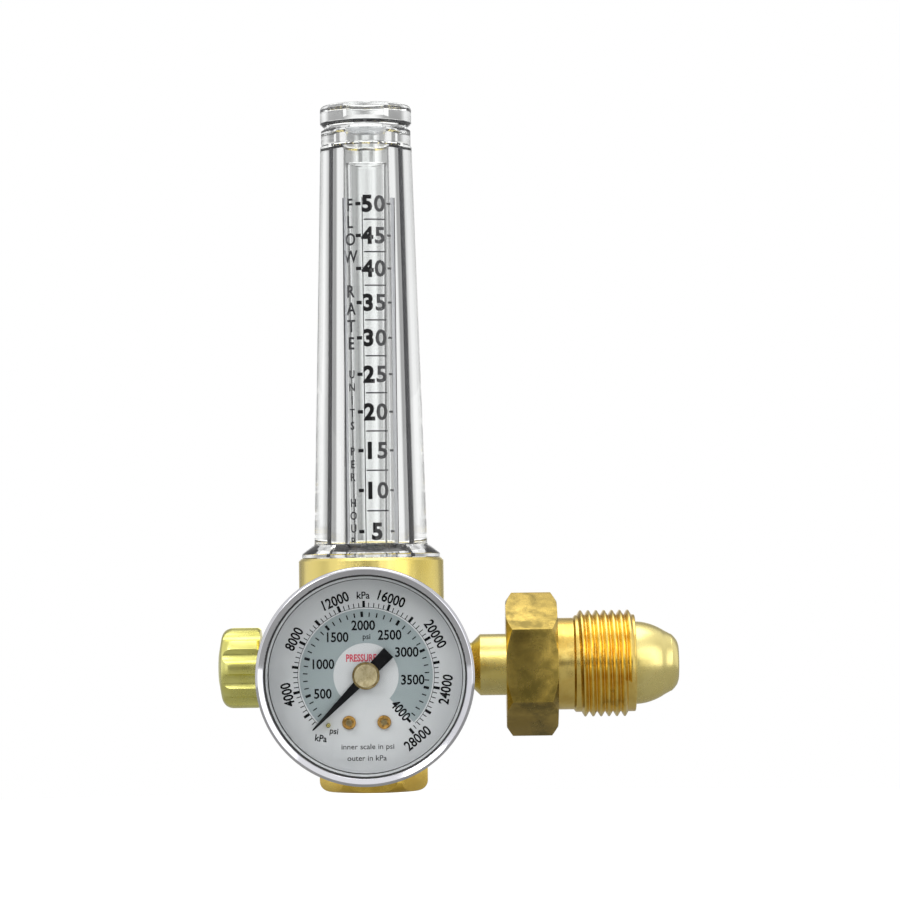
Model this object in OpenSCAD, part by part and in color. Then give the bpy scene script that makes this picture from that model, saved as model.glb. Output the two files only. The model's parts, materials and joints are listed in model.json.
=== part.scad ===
// Flowmeter regulator for bottled shielding gas, in millimetres.
// The origin is the centre of the outlet's mouth, on the barrel's upright axis. +Z runs up the
// flow tube, +X towards the cylinder inlet, and the pressure gauge faces -Y.

/* [Barrel] */
// Outside diameter of the upright brass barrel
barrel_d = 33.4; // [33.2:0.1:36]
// Height of the barrel from its lower face to the flow tube's flange
barrel_h = 44.6; // [44.6:0.2:47]
// Height of the inlet axis above the outlet's mouth
inlet_h = 28.6; // [28.6:0.1:29.2]

/* [Outlet] */
// Across flats of the outlet's hexagon
outlet_hex = 22.2; // [21.8:0.1:24]
// Height of the outlet's hexagon
outlet_hex_h = 8.9; // [8:0.1:8.9]
// Minor radius of the outlet's 5/8-18 female thread
outlet_r = 7.2; // [7:0.05:7.4]

/* [Inlet] */
// Major diameter of the inlet nut's 0.965-14 thread
inlet_thread_d = 24.5; // [24:0.1:25]
// Pitch of the inlet thread
inlet_pitch = 1.814; // [1.7:0.002:1.9]
// Across flats of the inlet nut
inlet_hex = 28.58; // [28:0.02:30]
// Reach of the nipple's nose from the barrel's axis
nose_x = 70.5; // [70:0.1:74]
// Diameter of the nipple's stem
stem_d = 14.1; // [13.8:0.1:14.4]

/* [Flow tube] */
// Height of the top of the clear cover above the barrel
cover_h = 95.4; // [90:0.2:110]
// Outside diameter of the cover where it leaves its flange
cover_base_d = 26.2; // [25.6:0.1:27]
// Outside diameter of the cover at its top
cover_top_d = 21.2; // [20.4:0.1:23]
// Outside diameter of the printed flow tube
flow_tube_d = 9.9; // [9.6:0.1:10]
// Diameter of the float ball
ball_d = 6.35; // [6:0.05:6.4]

/* [Gauge] */
// Outside diameter of the gauge's bezel
bezel_d = 47.2; // [47:0.1:50]
// Distance of the gauge's back from the barrel's axis
gauge_back = 29; // [29:0.5:34]
// How far the gauge's axis lies below the inlet's axis
gauge_drop = 0.75; // [0.5:0.05:1.2]

/* [Flow knob] */
// Diameter over the knob's lobes
knob_d = 18.7; // [18:0.1:20]
// Length of the knob
knob_l = 9.7; // [9:0.1:12]
// Number of flutes round the knob
knob_flutes = 10; // [8:1:12]

/* [Rear bonnet] */
// Diameter of the bonnet's flange
bonnet_d = 40; // [39.8:0.1:41]
// Length of the bonnet's bell
bonnet_l = 20; // [19:0.5:24]

/* [Hidden] */
$fn = 64;

gap = 0.05;                 // radial play of the fixed screwed fits
run = 0.06;                 // radial play of the running fits
cut = 0.5;                  // overrun of a cut past a face

// Barrel
barrel_r = barrel_d / 2;
barrel_z0 = outlet_hex_h;
barrel_z1 = barrel_z0 + barrel_h;
barrel_rim = 0.6;           // chamfer at the barrel's ends
gauge_h = inlet_h - gauge_drop;
inlet_boss_r = 9;
inlet_boss_x = 20.5;        // face of the inlet boss
inlet_port_r = 6.65;
inlet_port_x = 9.5;         // bottom of the inlet port
valve_boss_r = 8;
valve_boss_x = 20;
valve_port_r = 5.6;
valve_port_x = 8.2;         // bottom of the flow valve's port
valve_seat_r = 1.6;
valve_exit_x = 5.4;         // drilling from the flow valve down to the outlet
valve_exit_r = 1;
gauge_boss_r = 9.5;
gauge_boss_y = 21;
gauge_port_y = 10.5;
rear_boss_r = 19.6;
rear_boss_y = 20;           // face of the rear boss, where the diaphragm lies
low_room_r = 15;            // low pressure room under the diaphragm
low_room_y = 14;
high_room_r = 3.6;          // high pressure room that holds the poppet
high_room_y = -5;
nozzle_r = 4.8;
nozzle_y = 7;               // seat face of the nozzle
feed_z = 36.4;              // drilling from the low pressure room to the flow tube
feed_r = 1.2;
return_x = 8.6;             // drilling from the cover's foot to the flow valve
return_r = 1;
socket_r = 12;              // socket of the cover's screwed foot
socket_z = 41;
seat_r = 6;
seat_z = 38.5;
outlet_socket_r = 9;
outlet_socket_h = 8;

// Outlet
outlet_corner_r = 12.45;
outlet_chamfer = 2.6;
outlet_thread_h = 11;
outlet_throat_r = 3;

// Inlet nipple and nut
stem_r = stem_d / 2;
nut_x = 30.8;               // rear face of the nut
nut_hex_l = 11.8;
nut_neck_x = 46.5;          // start of the nut's thread
nut_end_x = 60.5;           // end of the nut
nut_neck_r = 10.55;
nut_web = 13;               // thickness of the wall that pulls on the nipple's head
head_r = 9.5;               // nipple's head inside the nut
nose_flat_r = 4.8;
nipple_r = 6.6;             // screwed end in the barrel
nipple_neck_r = 5.1;
nipple_neck_x = 22.9;       // end of the neck beside the barrel
nose_l = 6.4;               // length of the nose's curve
nose_band = [7.6, 7.3];     // radii of the nose's seating band
nose_band_x = 68.8;
nose_edge_r = 6.2;
bore_r = 2.6;
filter_r = 3;
filter_l = 8;
thread_depth = 1.1;
thread_land = 0.6;          // width of the thread's crest
thread_root = 0.25;         // width of the thread's root
thread_flank = 0.45;
nut_corner_r = 16.5;
nut_chamfer = 2;
nut_end_chamfer = 0.8;

// Flow tube, cover and cap
flange_r = 15.95;
flange_rim = 1.2;
flange_rise = 3.2;          // from the flange's face to the top of its cone
cover_z1 = barrel_z1 + cover_h;
cover_bore_foot = 6.36;
cover_bore_top = 5.13;
foot_l = 11.5;              // screwed foot below the flange
cap_neck_r = 10.4;
cap_rim_r = 10.6;
cap_neck_h = 4.2;
cap_h = 9.3;
cap_room_r = 4.8;
cap_edge = 0.9;
cap_hex = 6.2;              // socket for a key
cap_hex_h = 2.6;
cap_seal = [4.1, 0.65];     // rings are given by their centre line and section
cover_seal = [11, 0.48];
tube_seal_size = [4.3, 0.68];
seat_bore_r = 1.4;
post_r = 1.95;
post_l = 4.3;               // length of the stop post below the cover's top
tube_z0 = 42.4;
tube_z1 = cover_z1 - post_l - 0.1;
tube_bore_foot = 3.26;
tube_throat_r = 1.6;
tube_bore_top = 3.75;
ball_r = ball_d / 2;
ball_z = barrel_z1 - ball_r + 0.1;
ball_rest_z = ball_z - sqrt(ball_r * ball_r - tube_throat_r * tube_throat_r) - 0.03;

// Gauge, measured forward from the barrel's axis
bezel_r = bezel_d / 2;
case_r = bezel_r - 0.7;
case_wall = 1.2;
case_front = gauge_back + 26;
bezel_front = case_front + 1.6;
bezel_l = 8;
lens_t = 1.75;
lens_r = case_r - case_wall - 0.1;
sight_r = lens_r - 0.3;     // opening of the bezel
gasket_h = 1.2;
dial_y = gauge_back + 18.3;
dial_t = 0.5;
dial_r = lens_r - 0.4;
dial_screw_at = [3.8, -10.1];
dial_screw_r = 0.8;
dial_screw_head_r = 1.5;
dial_hole_r = 1.2;
stop_pin_at = [-8.25, -10.6];
stop_pin_r = 0.5;
plug_up = 15.5;             // blow-out plug in the case's back
case_plug_r = 2.45;
case_plug_head_r = 3.3;
case_hole_r = 6.1;          // where the gauge's socket comes through
case_edge = 1.5;
bezel_roll_r = 1.1;
socket_hex = 14;
socket_hex_corner_r = 8;
socket_neck_r = 6;
socket_bore_r = 1.2;
foot_w = 8;                 // foot that holds the bourdon tube
foot_low = -17.4;
foot_h = 22;
zero_angle = 225;
plate_back = gauge_back + 12;
plate_front = gauge_back + 16.4;
plate_t = 0.8;
plate_r = 12.5;
shaft_r = 0.5;
gear_ratio = 6;
pinion_teeth = 10;
gear_gap = 10.5;            // distance between pinion and sector
sector_angle = -60;         // direction of the sector's pivot from the pinion
sector_at = gear_gap * [cos(sector_angle), sin(sector_angle)];
tail_l = 5;
tail_angle = 210;
tail_at = sector_at + tail_l * [cos(tail_angle), sin(tail_angle)];
coil_r = 15;                // centre line of the bourdon tube
coil_w = 2;                 // its width, height and wall
coil_h = 5.5;
coil_wall = 0.4;
coil_back = 5;              // from the gauge's back to the tube
coil_start = -76;
coil_pin_r = 0.9;
coil_tip_angle = 170;
tip_at = (coil_r - 0.4) * [cos(coil_tip_angle), sin(coil_tip_angle)];
pillar_angles = [30, 150, 320];
pillar_r = 0.9;
pillar_in = 1.3;            // from the plates' edge
sector_root = 8.6;
sector_tip = 9.25;
sector_t = 1;
sector_hub_r = 1.4;
sector_teeth = [-9, 1];
pinion_root = 1.15;
pinion_tip = 1.75;
pinion_l = 1.6;
link_r = 1.1;
link_w = 1.4;
link_t = 0.7;
link_back = plate_back + 1.1;
link_pin_r = 0.5;
hairspring_r = 0.9;
hairspring_turns = 4;
hairspring_step = 0.6;
hairspring_t = 0.08;
hairspring_steps = 24;      // corners in one turn
pointer_y = dial_y + 1.5;
pointer_t = 0.35;
pointer_l = 16.6;
pointer_tail = [7.05, 3];   // length and width
pointer_hole_r = 1.3;
hub_neck_r = 1.25;
hub_cap_r = 3;

// Flow valve, measured to the left of the barrel's axis
knob_x = 25.6;
knob_flute_r = 2.3;         // cutter of the knob's flutes
knob_flute_out = 1.3;       // how far its centre lies outside the knob
knob_bore_l = 6.4;
knob_edge = 0.7;
knob_screw_r = 1.25;
knob_screw_head_r = 2.9;
knob_screw_head_h = 1.35;
knob_recess_r = 3.1;
knob_recess_h = 1.6;
needle_tip = [0.4, 6.8];    // radius and distance of the needle's point
needle_base = [2.4, 10.7];
stem_shoulder_x = 11.4;
stem_groove = [16.6, 18.2]; // groove of the stem's ring
stem_groove_r = 2.2;
stem_seal_size = [2.62, 0.4];
stem_end_r = 2.4;           // where the knob sits
valve_stem_r = 3;
valve_nut_l = 3.8;
valve_nut_hex = 13;
valve_nut_chamfer = 0.8;
gland_x = valve_port_x + 2.5;

// Rear bonnet, measured back from the barrel's axis
skin_t = 0.8;               // thickness of the diaphragm
bonnet_y = rear_boss_y + skin_t;
bonnet_rim = 3.5;
bell_r = 14.6;
bell_room_r = 11.8;
bell_end = bonnet_y + bonnet_rim + bonnet_l;
bonnet_edge = 0.6;          // chamfer at the flange's edge
bell_edge_r = 3;            // rounding at the bell's end
bell_cap_t = 4;             // thickness of the bell's end
plug_seat = 1.8;            // depth of the plug's seat in the bell's end
bolt_at = 17.4;
bolt_count = 6;
bolt_turn = 45;             // where the first screw stands
bolt_r = 1.2;
bolt_hole_r = 1.6;
bolt_l = 6;                 // length of a screw in the barrel
bolt_head_r = 2.4;
bolt_hex = 2.2;
hub_r = 2;                  // hub of the diaphragm's plate
push_plate_r = 9.2;
push_plate_t = 1.5;
main_spring_r = 8.3;        // to the middle of the wire
main_wire_r = 0.9;
main_spring_l = 14.1;
button_r = 9.6;
button_t = 1.75;
adjuster_hex = 4;
poppet_r = 2.7;
poppet_pin_r = 0.8;
poppet_back = -1.8;         // rear face of the poppet
nozzle_bore_r = 1.2;
adjuster_r = 3.95;
plug_r = 7.5;
plug_h = 4;
stroke = 0.8;

// Relief valve, on a slanting axis of the rear boss
relief_angle = 135;
relief_y = 16;
relief_hex = 6.5;
relief_hex_l = 5.4;
relief_r = 2.5;
relief_room_r = 2.1;
relief_room_l = 4.6;
relief_pin_r = 0.7;

// ---- placing ----
module along_inlet() { translate([0, 0, inlet_h]) rotate([0, 90, 0]) children(); }
module along_valve() { translate([0, 0, inlet_h]) rotate([0, -90, 0]) children(); }
module along_gauge() { translate([0, 0, gauge_h]) rotate([90, 0, 0]) children(); }
module along_bonnet() { translate([0, 0, inlet_h]) rotate([-90, 0, 0]) children(); }
module along_relief() {
    translate([0, relief_y, inlet_h]) rotate([0, relief_angle + 90, 0]) children();
}

// ---- shapes ----
module rod(r, a, b) { translate([0, 0, a]) cylinder(r = r, h = b - a); }
module ring(r_out, r_in, a, b) {
    difference() {
        rod(r_out, a, b);
        rod(r_in, a - cut, b + cut);
    }
}
module hex(flats, a, b) {
    translate([0, 0, a]) cylinder(r = flats / 2 / cos(30), h = b - a, $fn = 6);
}
// A hexagon whose corners are turned off at one or both ends
module turned_hex(flats, corner_r, a, b, low, high) {
    intersection() {
        hex(flats, a, b);
        rotate_extrude() polygon([[0, a], [corner_r - low, a], [corner_r, a + low * 0.7],
            [corner_r, b - high * 0.7], [corner_r - high, b], [0, b]]);
    }
}
module torus(size, at) {
    translate([0, 0, at]) rotate_extrude() translate([size[0], 0]) circle(r = size[1]);
}
// A round wire wound into a spring between two heights
module spring(radius, wire, turns, a, b, sides = 6, steps = 16) {
    rings = turns * steps;
    rise = b - a - 2 * wire;
    points = [for (i = [0:rings]) for (j = [0:sides - 1])
        let (t = 360 * i / steps, s = 360 * j / sides, r = radius + wire * cos(s))
        [r * cos(t), r * sin(t), a + wire + rise * i / rings + wire * sin(s)]];
    walls = [for (i = [0:rings - 1]) for (j = [0:sides - 1]) let (n = (j + 1) % sides)
        each [[i * sides + j, (i + 1) * sides + j, i * sides + n],
            [i * sides + n, (i + 1) * sides + j, (i + 1) * sides + n]]];
    ends = [[for (j = [0:sides - 1]) j],
        [for (j = [sides - 1:-1:0]) rings * sides + j]];
    polyhedron(points, concat(walls, ends));
}
// Corners of gear teeth, from the tooth numbered a to the one numbered b
function teeth(root, tip, pitch, a, b) = [for (k = [a:b])
    for (c = [[root, -0.3], [tip, -0.13], [tip, 0.13], [root, 0.3]])
    c[0] * [cos((k + c[1]) * pitch), sin((k + c[1]) * pitch)]];

// ---- barrel and outlet ----
module barrel_body() {
    color("goldenrod") difference() {
        union() {
            rotate_extrude() polygon([[0, barrel_z0], [barrel_r - barrel_rim, barrel_z0],
                [barrel_r, barrel_z0 + barrel_rim], [barrel_r, barrel_z1 - barrel_rim],
                [barrel_r - barrel_rim, barrel_z1], [0, barrel_z1]]);
            along_inlet() rod(inlet_boss_r, 0, inlet_boss_x);
            along_valve() rod(valve_boss_r, 0, valve_boss_x);
            along_gauge() rod(gauge_boss_r, 0, gauge_boss_y);
            along_bonnet() rod(rear_boss_r, 0, rear_boss_y);
        }
        rod(socket_r, socket_z, barrel_z1 + cut);
        rod(seat_r, seat_z, socket_z + cut);
        rod(outlet_socket_r, barrel_z0 - cut, barrel_z0 + outlet_socket_h);
        rod(feed_r, feed_z, seat_z + cut);
        translate([0, 0, feed_z - inlet_h]) along_bonnet() rod(feed_r, 0, low_room_y + cut);
        along_inlet() rod(inlet_port_r, inlet_port_x, inlet_boss_x + cut);
        along_inlet() rod(bore_r, 0, inlet_port_x + cut);
        along_valve() rod(valve_port_r, valve_port_x, valve_boss_x + cut);
        along_valve() rod(valve_seat_r, valve_exit_x, valve_port_x + cut);
        translate([-valve_exit_x, 0, 0])
            rod(valve_exit_r, barrel_z0 + outlet_socket_h - cut, inlet_h);
        translate([-return_x, 0, 0]) rod(return_r, inlet_h, socket_z + cut);
        along_gauge() rod(inlet_port_r, gauge_port_y, gauge_boss_y + cut);
        along_gauge() rod(valve_seat_r, 0, gauge_port_y + cut);
        along_bonnet() rod(high_room_r, high_room_y, nozzle_y + cut);
        along_bonnet() rod(nozzle_r, nozzle_y, low_room_y + cut);
        along_bonnet() rod(low_room_r, low_room_y, rear_boss_y + cut);
        along_relief() rod(relief_r, low_room_r - 1, rear_boss_r + cut);
        along_bonnet() bolt_circle() rod(bolt_r + gap, rear_boss_y - bolt_l - 1, rear_boss_y + cut);
    }
}
module outlet_bushing() {
    color("gold") difference() {
        union() {
            turned_hex(outlet_hex, outlet_corner_r, 0, outlet_hex_h, outlet_chamfer, 0);
            rod(outlet_socket_r - gap, outlet_hex_h, barrel_z0 + outlet_socket_h - 0.5);
        }
        rod(outlet_r, -cut, outlet_thread_h);
        rod(outlet_throat_r, 0, barrel_z0 + outlet_socket_h);
    }
}

// ---- inlet ----
module inlet_nipple() {
    color("khaki") along_inlet() difference() {
        rotate_extrude() polygon(concat(
            [[0, inlet_port_x + 0.3], [nipple_r, inlet_port_x + 0.3],
            [nipple_r, inlet_boss_x - 0.4], [nipple_neck_r, inlet_boss_x - 0.4],
            [nipple_neck_r, nipple_neck_x], [stem_r, nipple_neck_x + stem_r - nipple_neck_r],
            [stem_r, nut_x + nut_web + 0.1], [head_r, nut_x + nut_web + 0.1],
            [head_r, nut_end_x]],
            [for (t = [0.2:0.2:1])
                [head_r - (head_r - nose_band[0]) * t * t, nut_end_x + nose_l * t]],
            [[nose_band[1], nose_band_x], [nose_edge_r, nose_x - 0.6], [nose_flat_r, nose_x],
            [0, nose_x]]));
        rod(bore_r, inlet_port_x - cut, nose_x + cut);
        rod(filter_r + gap, inlet_port_x - cut, inlet_port_x + 0.3 + filter_l);
    }
}
module inlet_filter() {
    color("peru") along_inlet() rod(filter_r, inlet_port_x + 0.4, inlet_port_x + filter_l);
}
module inlet_nut() {
    crest = inlet_thread_d / 2;
    root = crest - thread_depth;
    turns = floor((nut_end_x - nut_neck_x - 1.2) / inlet_pitch);
    first = 0.2;
    land = first + thread_land;
    flank = land + thread_flank;
    color("darkgoldenrod") along_inlet() difference() {
        union() {
            turned_hex(inlet_hex, nut_corner_r, nut_x, nut_x + nut_hex_l, nut_chamfer,
                nut_chamfer);
            rotate_extrude() polygon(concat(
                [[0, nut_x + nut_hex_l], [nut_neck_r, nut_x + nut_hex_l],
                [nut_neck_r, nut_neck_x]],
                [for (k = [0:turns - 1]) for (c = [[crest, first], [crest, land],
                    [root, flank], [root, flank + thread_root]])
                    [c[0], nut_neck_x + k * inlet_pitch + c[1]]],
                [[crest, nut_neck_x + turns * inlet_pitch + first],
                [crest, nut_end_x - nut_end_chamfer], [crest - nut_end_chamfer, nut_end_x],
                [0, nut_end_x]]));
        }
        rod(stem_r + run, nut_x - cut, nut_x + nut_web + cut);
        rod(head_r + run, nut_x + nut_web, nut_end_x + cut);
    }
}

// ---- flow tube ----
module tube_cover() {
    base = cover_base_d / 2;
    color([0.9, 0.95, 0.97, 0.5]) rotate_extrude() polygon([
        [cover_bore_foot, barrel_z1 - foot_l], [socket_r - gap, barrel_z1 - foot_l],
        [socket_r - gap, barrel_z1], [flange_r, barrel_z1],
        [flange_r, barrel_z1 + flange_rim], [base, barrel_z1 + flange_rise],
        [cover_top_d / 2, cover_z1], [cover_bore_top, cover_z1]]);
}
module tube_cap() {
    top = cover_z1 + cap_h;
    color([0.9, 0.95, 0.97, 0.5]) difference() {
        rotate_extrude() polygon([[0, cover_z1 - post_l], [post_r, cover_z1 - post_l],
            [post_r, cover_z1 + cap_neck_h], [cap_room_r, cover_z1 + cap_neck_h],
            [cap_room_r, cover_z1], [cap_neck_r, cover_z1],
            [cap_neck_r, cover_z1 + cap_neck_h], [cap_rim_r, cover_z1 + cap_neck_h],
            [cap_rim_r, top - cap_edge], [cap_rim_r - cap_edge, top], [0, top]]);
        hex(cap_hex, top - cap_hex_h, top + cut);
    }
}
module cap_o_ring() { color("white") torus(cap_seal, cover_z1 + cap_neck_h - 0.7); }
module cover_o_ring() { color("black") torus(cover_seal, socket_z + 0.5); }
module flow_tube() {
    color([0.95, 0.95, 0.95, 0.6]) rotate_extrude() polygon([
        [tube_throat_r, tube_z0], [flow_tube_d / 2, tube_z0], [flow_tube_d / 2, tube_z1],
        [tube_bore_top, tube_z1], [tube_bore_foot, ball_rest_z],
        [tube_throat_r, ball_rest_z]]);
}
module tube_seat() {
    color("gold") difference() {
        rod(seat_r - gap, seat_z + 0.02, socket_z);
        rod(seat_bore_r, seat_z - cut, socket_z + cut);
    }
}
module tube_seal() { color("dimgray") torus(tube_seal_size, socket_z + 0.7); }
module float_ball() { color("black") translate([0, 0, ball_z]) sphere(r = ball_r); }

// ---- flow valve ----
module valve_bonnet() {
    color("gold") along_valve() difference() {
        union() {
            rod(valve_port_r - gap, gland_x, valve_boss_x);
            turned_hex(valve_nut_hex, valve_nut_hex / 2 + valve_nut_chamfer, valve_boss_x,
                valve_boss_x + valve_nut_l, 0, valve_nut_chamfer);
        }
        rod(valve_stem_r + run, valve_port_x, knob_x);
    }
}
module needle_stem() {
    end = knob_x + knob_bore_l - 0.2;
    color("silver") along_valve() rotate_extrude() polygon([[0, needle_tip[1]], needle_tip,
        needle_base, [valve_stem_r, stem_shoulder_x], [valve_stem_r, stem_groove[0]],
        [stem_groove_r, stem_groove[0]], [stem_groove_r, stem_groove[1]],
        [valve_stem_r, stem_groove[1]], [valve_stem_r, knob_x - 1], [stem_end_r, knob_x - 1],
        [stem_end_r, end], [0, end]]);
}
module stem_o_ring() { color("black") along_valve()
    torus(stem_seal_size, (stem_groove[0] + stem_groove[1]) / 2); }
module flow_knob() {
    r = knob_d / 2;
    far = knob_x + knob_l;
    color("khaki") along_valve() difference() {
        rotate_extrude() polygon([[0, knob_x], [r - knob_edge, knob_x], [r, knob_x + knob_edge],
            [r, far - 4], [r - 0.8, far - 1.9], [r - 2.8, far], [0, far]]);
        for (k = [0:knob_flutes - 1]) rotate(360 / knob_flutes * (k + 0.5))
            translate([r + knob_flute_out, 0, 0]) rod(knob_flute_r, knob_x - cut, far + cut);
        rod(stem_end_r + gap, knob_x - cut, knob_x + knob_bore_l);
        rod(knob_screw_r + gap, knob_x + 6, far + cut);
        rod(knob_recess_r, far - knob_recess_h, far + cut);
    }
}
module knob_screw() {
    seat = knob_x + knob_l - knob_recess_h + gap;
    color("silver") along_valve() difference() {
        union() {
            rod(knob_screw_r, knob_x + knob_bore_l + 0.1, seat + gap);
            rod(knob_screw_head_r, seat, seat + knob_screw_head_h);
        }
        translate([-2, -0.35, seat + 0.65]) cube([4, 0.7, 2]);
    }
}

// ---- regulator ----
module bolt_circle() {
    for (k = [0:bolt_count - 1]) rotate(bolt_turn + 360 / bolt_count * k)
        translate([bolt_at, 0, 0]) children();
}
module rear_bonnet() {
    color("goldenrod") along_bonnet() difference() {
        rotate_extrude() polygon(concat([[0, bonnet_y], [bonnet_d / 2, bonnet_y],
            [bonnet_d / 2, bonnet_y + bonnet_rim - bonnet_edge],
            [bonnet_d / 2 - bonnet_edge, bonnet_y + bonnet_rim],
            [bell_r, bonnet_y + bonnet_rim]],
            [for (t = [0:15:90]) [bell_r - bell_edge_r * (1 - cos(t)),
                bell_end - bell_edge_r * (1 - sin(t))]],
            [[0, bell_end]]));
        rod(bell_room_r, bonnet_y - cut, bell_end - bell_cap_t);
        rod(adjuster_r + gap, bell_end - bell_cap_t - 1, bell_end + cut);
        rod(plug_r + gap, bell_end - plug_seat, bell_end + cut);
        bolt_circle() rod(bolt_hole_r, bonnet_y - cut, bonnet_y + bonnet_rim + cut);
    }
}
module bonnet_screws() {
    seat = bonnet_y + bonnet_rim;
    color("silver") along_bonnet() bolt_circle() difference() {
        union() {
            rod(bolt_r, rear_boss_y - bolt_l, seat);
            rod(bolt_head_r, seat, seat + bolt_head_r);
        }
        hex(bolt_hex, seat + 1, seat + 3);
    }
}
module diaphragm() {
    color("dimgray") along_bonnet() difference() {
        ring(rear_boss_r, hub_r + 0.1, rear_boss_y, bonnet_y);
        bolt_circle() rod(bolt_hole_r, rear_boss_y - cut, bonnet_y + cut);
    }
}
module diaphragm_plate() {
    color("silver") along_bonnet() {
        rod(push_plate_r, bonnet_y + 0.02, bonnet_y + push_plate_t);
        rod(hub_r, rear_boss_y - 1.5, bonnet_y + 0.1);
    }
}
module main_spring() {
    foot = bonnet_y + push_plate_t;
    color("slategray") along_bonnet()
        spring(main_spring_r, main_wire_r, 6, foot + gap, foot + main_spring_l);
}
module spring_button() {
    foot = bonnet_y + push_plate_t + main_spring_l + gap;
    color("silver") along_bonnet() rod(button_r, foot, foot + button_t);
}
module adjusting_screw() {
    foot = bonnet_y + push_plate_t + main_spring_l + button_t + 2 * gap;
    color("silver") along_bonnet() difference() {
        rod(adjuster_r, foot, bell_end - plug_seat - 0.1);
        hex(adjuster_hex, bell_end - plug_seat - 2.6, bell_end);
    }
}
module adjuster_plug() {
    color("black") along_bonnet() rotate_extrude() polygon([
        [0, bell_end - plug_seat + gap], [plug_r, bell_end - plug_seat + gap],
        [plug_r, bell_end + plug_h - 1.9],
        [plug_r - 0.9, bell_end + plug_h - 1], [0, bell_end + plug_h - 1]]);
}
module valve_nozzle() {
    color("gold") along_bonnet() difference() {
        rod(nozzle_r - gap, nozzle_y + 0.02, low_room_y + 1.5);
        rod(nozzle_bore_r, nozzle_y - cut, low_room_y + 2);
    }
}
module poppet() {
    color("dimgray") along_bonnet() {
        rod(poppet_r, poppet_back, nozzle_y - stroke);
        rod(poppet_pin_r, nozzle_y - stroke - 0.2, rear_boss_y - 1.55);
    }
}
module poppet_spring() {
    color("silver") along_bonnet()
        spring(2.1, 0.3, 4, high_room_y + gap, poppet_back - gap, 6, 12);
}
module relief_body() {
    color("gold") along_relief() difference() {
        union() {
            rod(relief_r - gap, low_room_r + 0.6, rear_boss_r + 0.1);
            rotate(30) hex(relief_hex, rear_boss_r + 0.1, rear_boss_r + relief_hex_l);
        }
        rod(relief_pin_r + 0.2, low_room_r, rear_boss_r + relief_hex_l + cut);
        rod(relief_room_r, rear_boss_r + 0.6, rear_boss_r + relief_room_l);
    }
}
module relief_plunger() {
    color("silver") along_relief() {
        rod(relief_room_r - 0.1, rear_boss_r + 0.6 + gap, rear_boss_r + 1.6);
        rod(relief_pin_r, rear_boss_r + 1.5, rear_boss_r + 5);
    }
}
module relief_spring() {
    color("silver") along_relief()
        spring(1.4, 0.22, 4, rear_boss_r + 1.6 + gap, rear_boss_r + relief_room_l - gap, 6, 12);
}

// ---- gauge ----
module gauge_socket() {
    color("gold") along_gauge() difference() {
        union() {
            rod(inlet_port_r - gap, gauge_port_y + 0.4, gauge_boss_y + 0.4);
            turned_hex(socket_hex, socket_hex_corner_r, gauge_boss_y + 0.4, gauge_back - gap,
                0.6, 0.6);
            rod(socket_neck_r, gauge_back - 0.1, gauge_back + 2);
            translate([-foot_w / 2, foot_low, gauge_back + 1.4]) cube([foot_w, foot_h, 3]);
            translate([0.5 - foot_w / 2, foot_low, gauge_back + 4])
                cube([foot_w - 1, 8.4, plate_back - gauge_back - 4 - gap]);
        }
        rod(socket_bore_r, gauge_port_y, gauge_back + 3);
    }
}
module gauge_case() {
    color("silver") along_gauge() difference() {
        rotate_extrude() polygon([[case_hole_r, gauge_back], [case_r - case_edge, gauge_back],
            [case_r, gauge_back + case_edge], [case_r, case_front],
            [case_r - case_wall, case_front], [case_r - case_wall, gauge_back + 2],
            [case_r - case_wall - 0.8, gauge_back + case_wall],
            [case_hole_r, gauge_back + case_wall]]);
        translate([0, plug_up, 0]) rod(case_plug_r + gap, gauge_back - cut, gauge_back + 2);
    }
}
module case_plug() {
    color("black") along_gauge() translate([0, plug_up, 0]) {
        rod(case_plug_r, gauge_back - 0.1, gauge_back + case_wall + 0.1);
        rod(case_plug_head_r, gauge_back - 0.9, gauge_back - gap);
    }
}
module bezel_ring() {
    color("gainsboro") along_gauge() rotate_extrude() polygon(concat(
        [[case_r + gap, bezel_front - bezel_l], [bezel_r - 0.25, bezel_front - bezel_l],
        [bezel_r, bezel_front - bezel_l + 0.6]],
        [for (t = [0:18:90]) [bezel_r - bezel_roll_r * (1 - cos(t)),
            bezel_front - 1.3 * (1 - sin(t))]],
        [[sight_r + 0.5, bezel_front - 0.25], [sight_r, case_front + gap],
        [case_r + gap, case_front + gap]]));
}
module gauge_lens() {
    color([0.9, 0.95, 0.97, 0.4]) along_gauge() rod(lens_r, case_front - lens_t, case_front);
}
module lens_gasket() {
    color("black") along_gauge()
        ring(lens_r, sight_r - 0.45, case_front - lens_t - gasket_h, case_front - lens_t - 0.03);
}
module gauge_dial() {
    color("white") along_gauge() difference() {
        rod(dial_r, dial_y, dial_y + dial_t);
        rod(dial_hole_r, dial_y - cut, dial_y + 1);
        for (s = [-1, 1]) translate([s * dial_screw_at[0], dial_screw_at[1], 0])
            rod(dial_screw_r + gap, dial_y - cut, dial_y + 1);
        translate(stop_pin_at) rod(stop_pin_r + gap, dial_y - cut, dial_y + 1);
    }
}
module dial_screws() {
    face = dial_y + dial_t;
    color("gold") along_gauge() for (s = [-1, 1])
        translate([s * dial_screw_at[0], dial_screw_at[1], 0]) difference() {
            union() {
                rod(dial_screw_r, plate_front + plate_t, face + 0.1);
                rod(dial_screw_head_r, face + 0.02, face + 0.8);
            }
            translate([-2, -0.2, face + 0.45]) cube([4, 0.4, 1]);
        }
}
module stop_pin() {
    color("gold") along_gauge() translate(stop_pin_at)
        rod(stop_pin_r, plate_front + plate_t + 0.1, dial_y + dial_t + 1.9);
}
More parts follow.
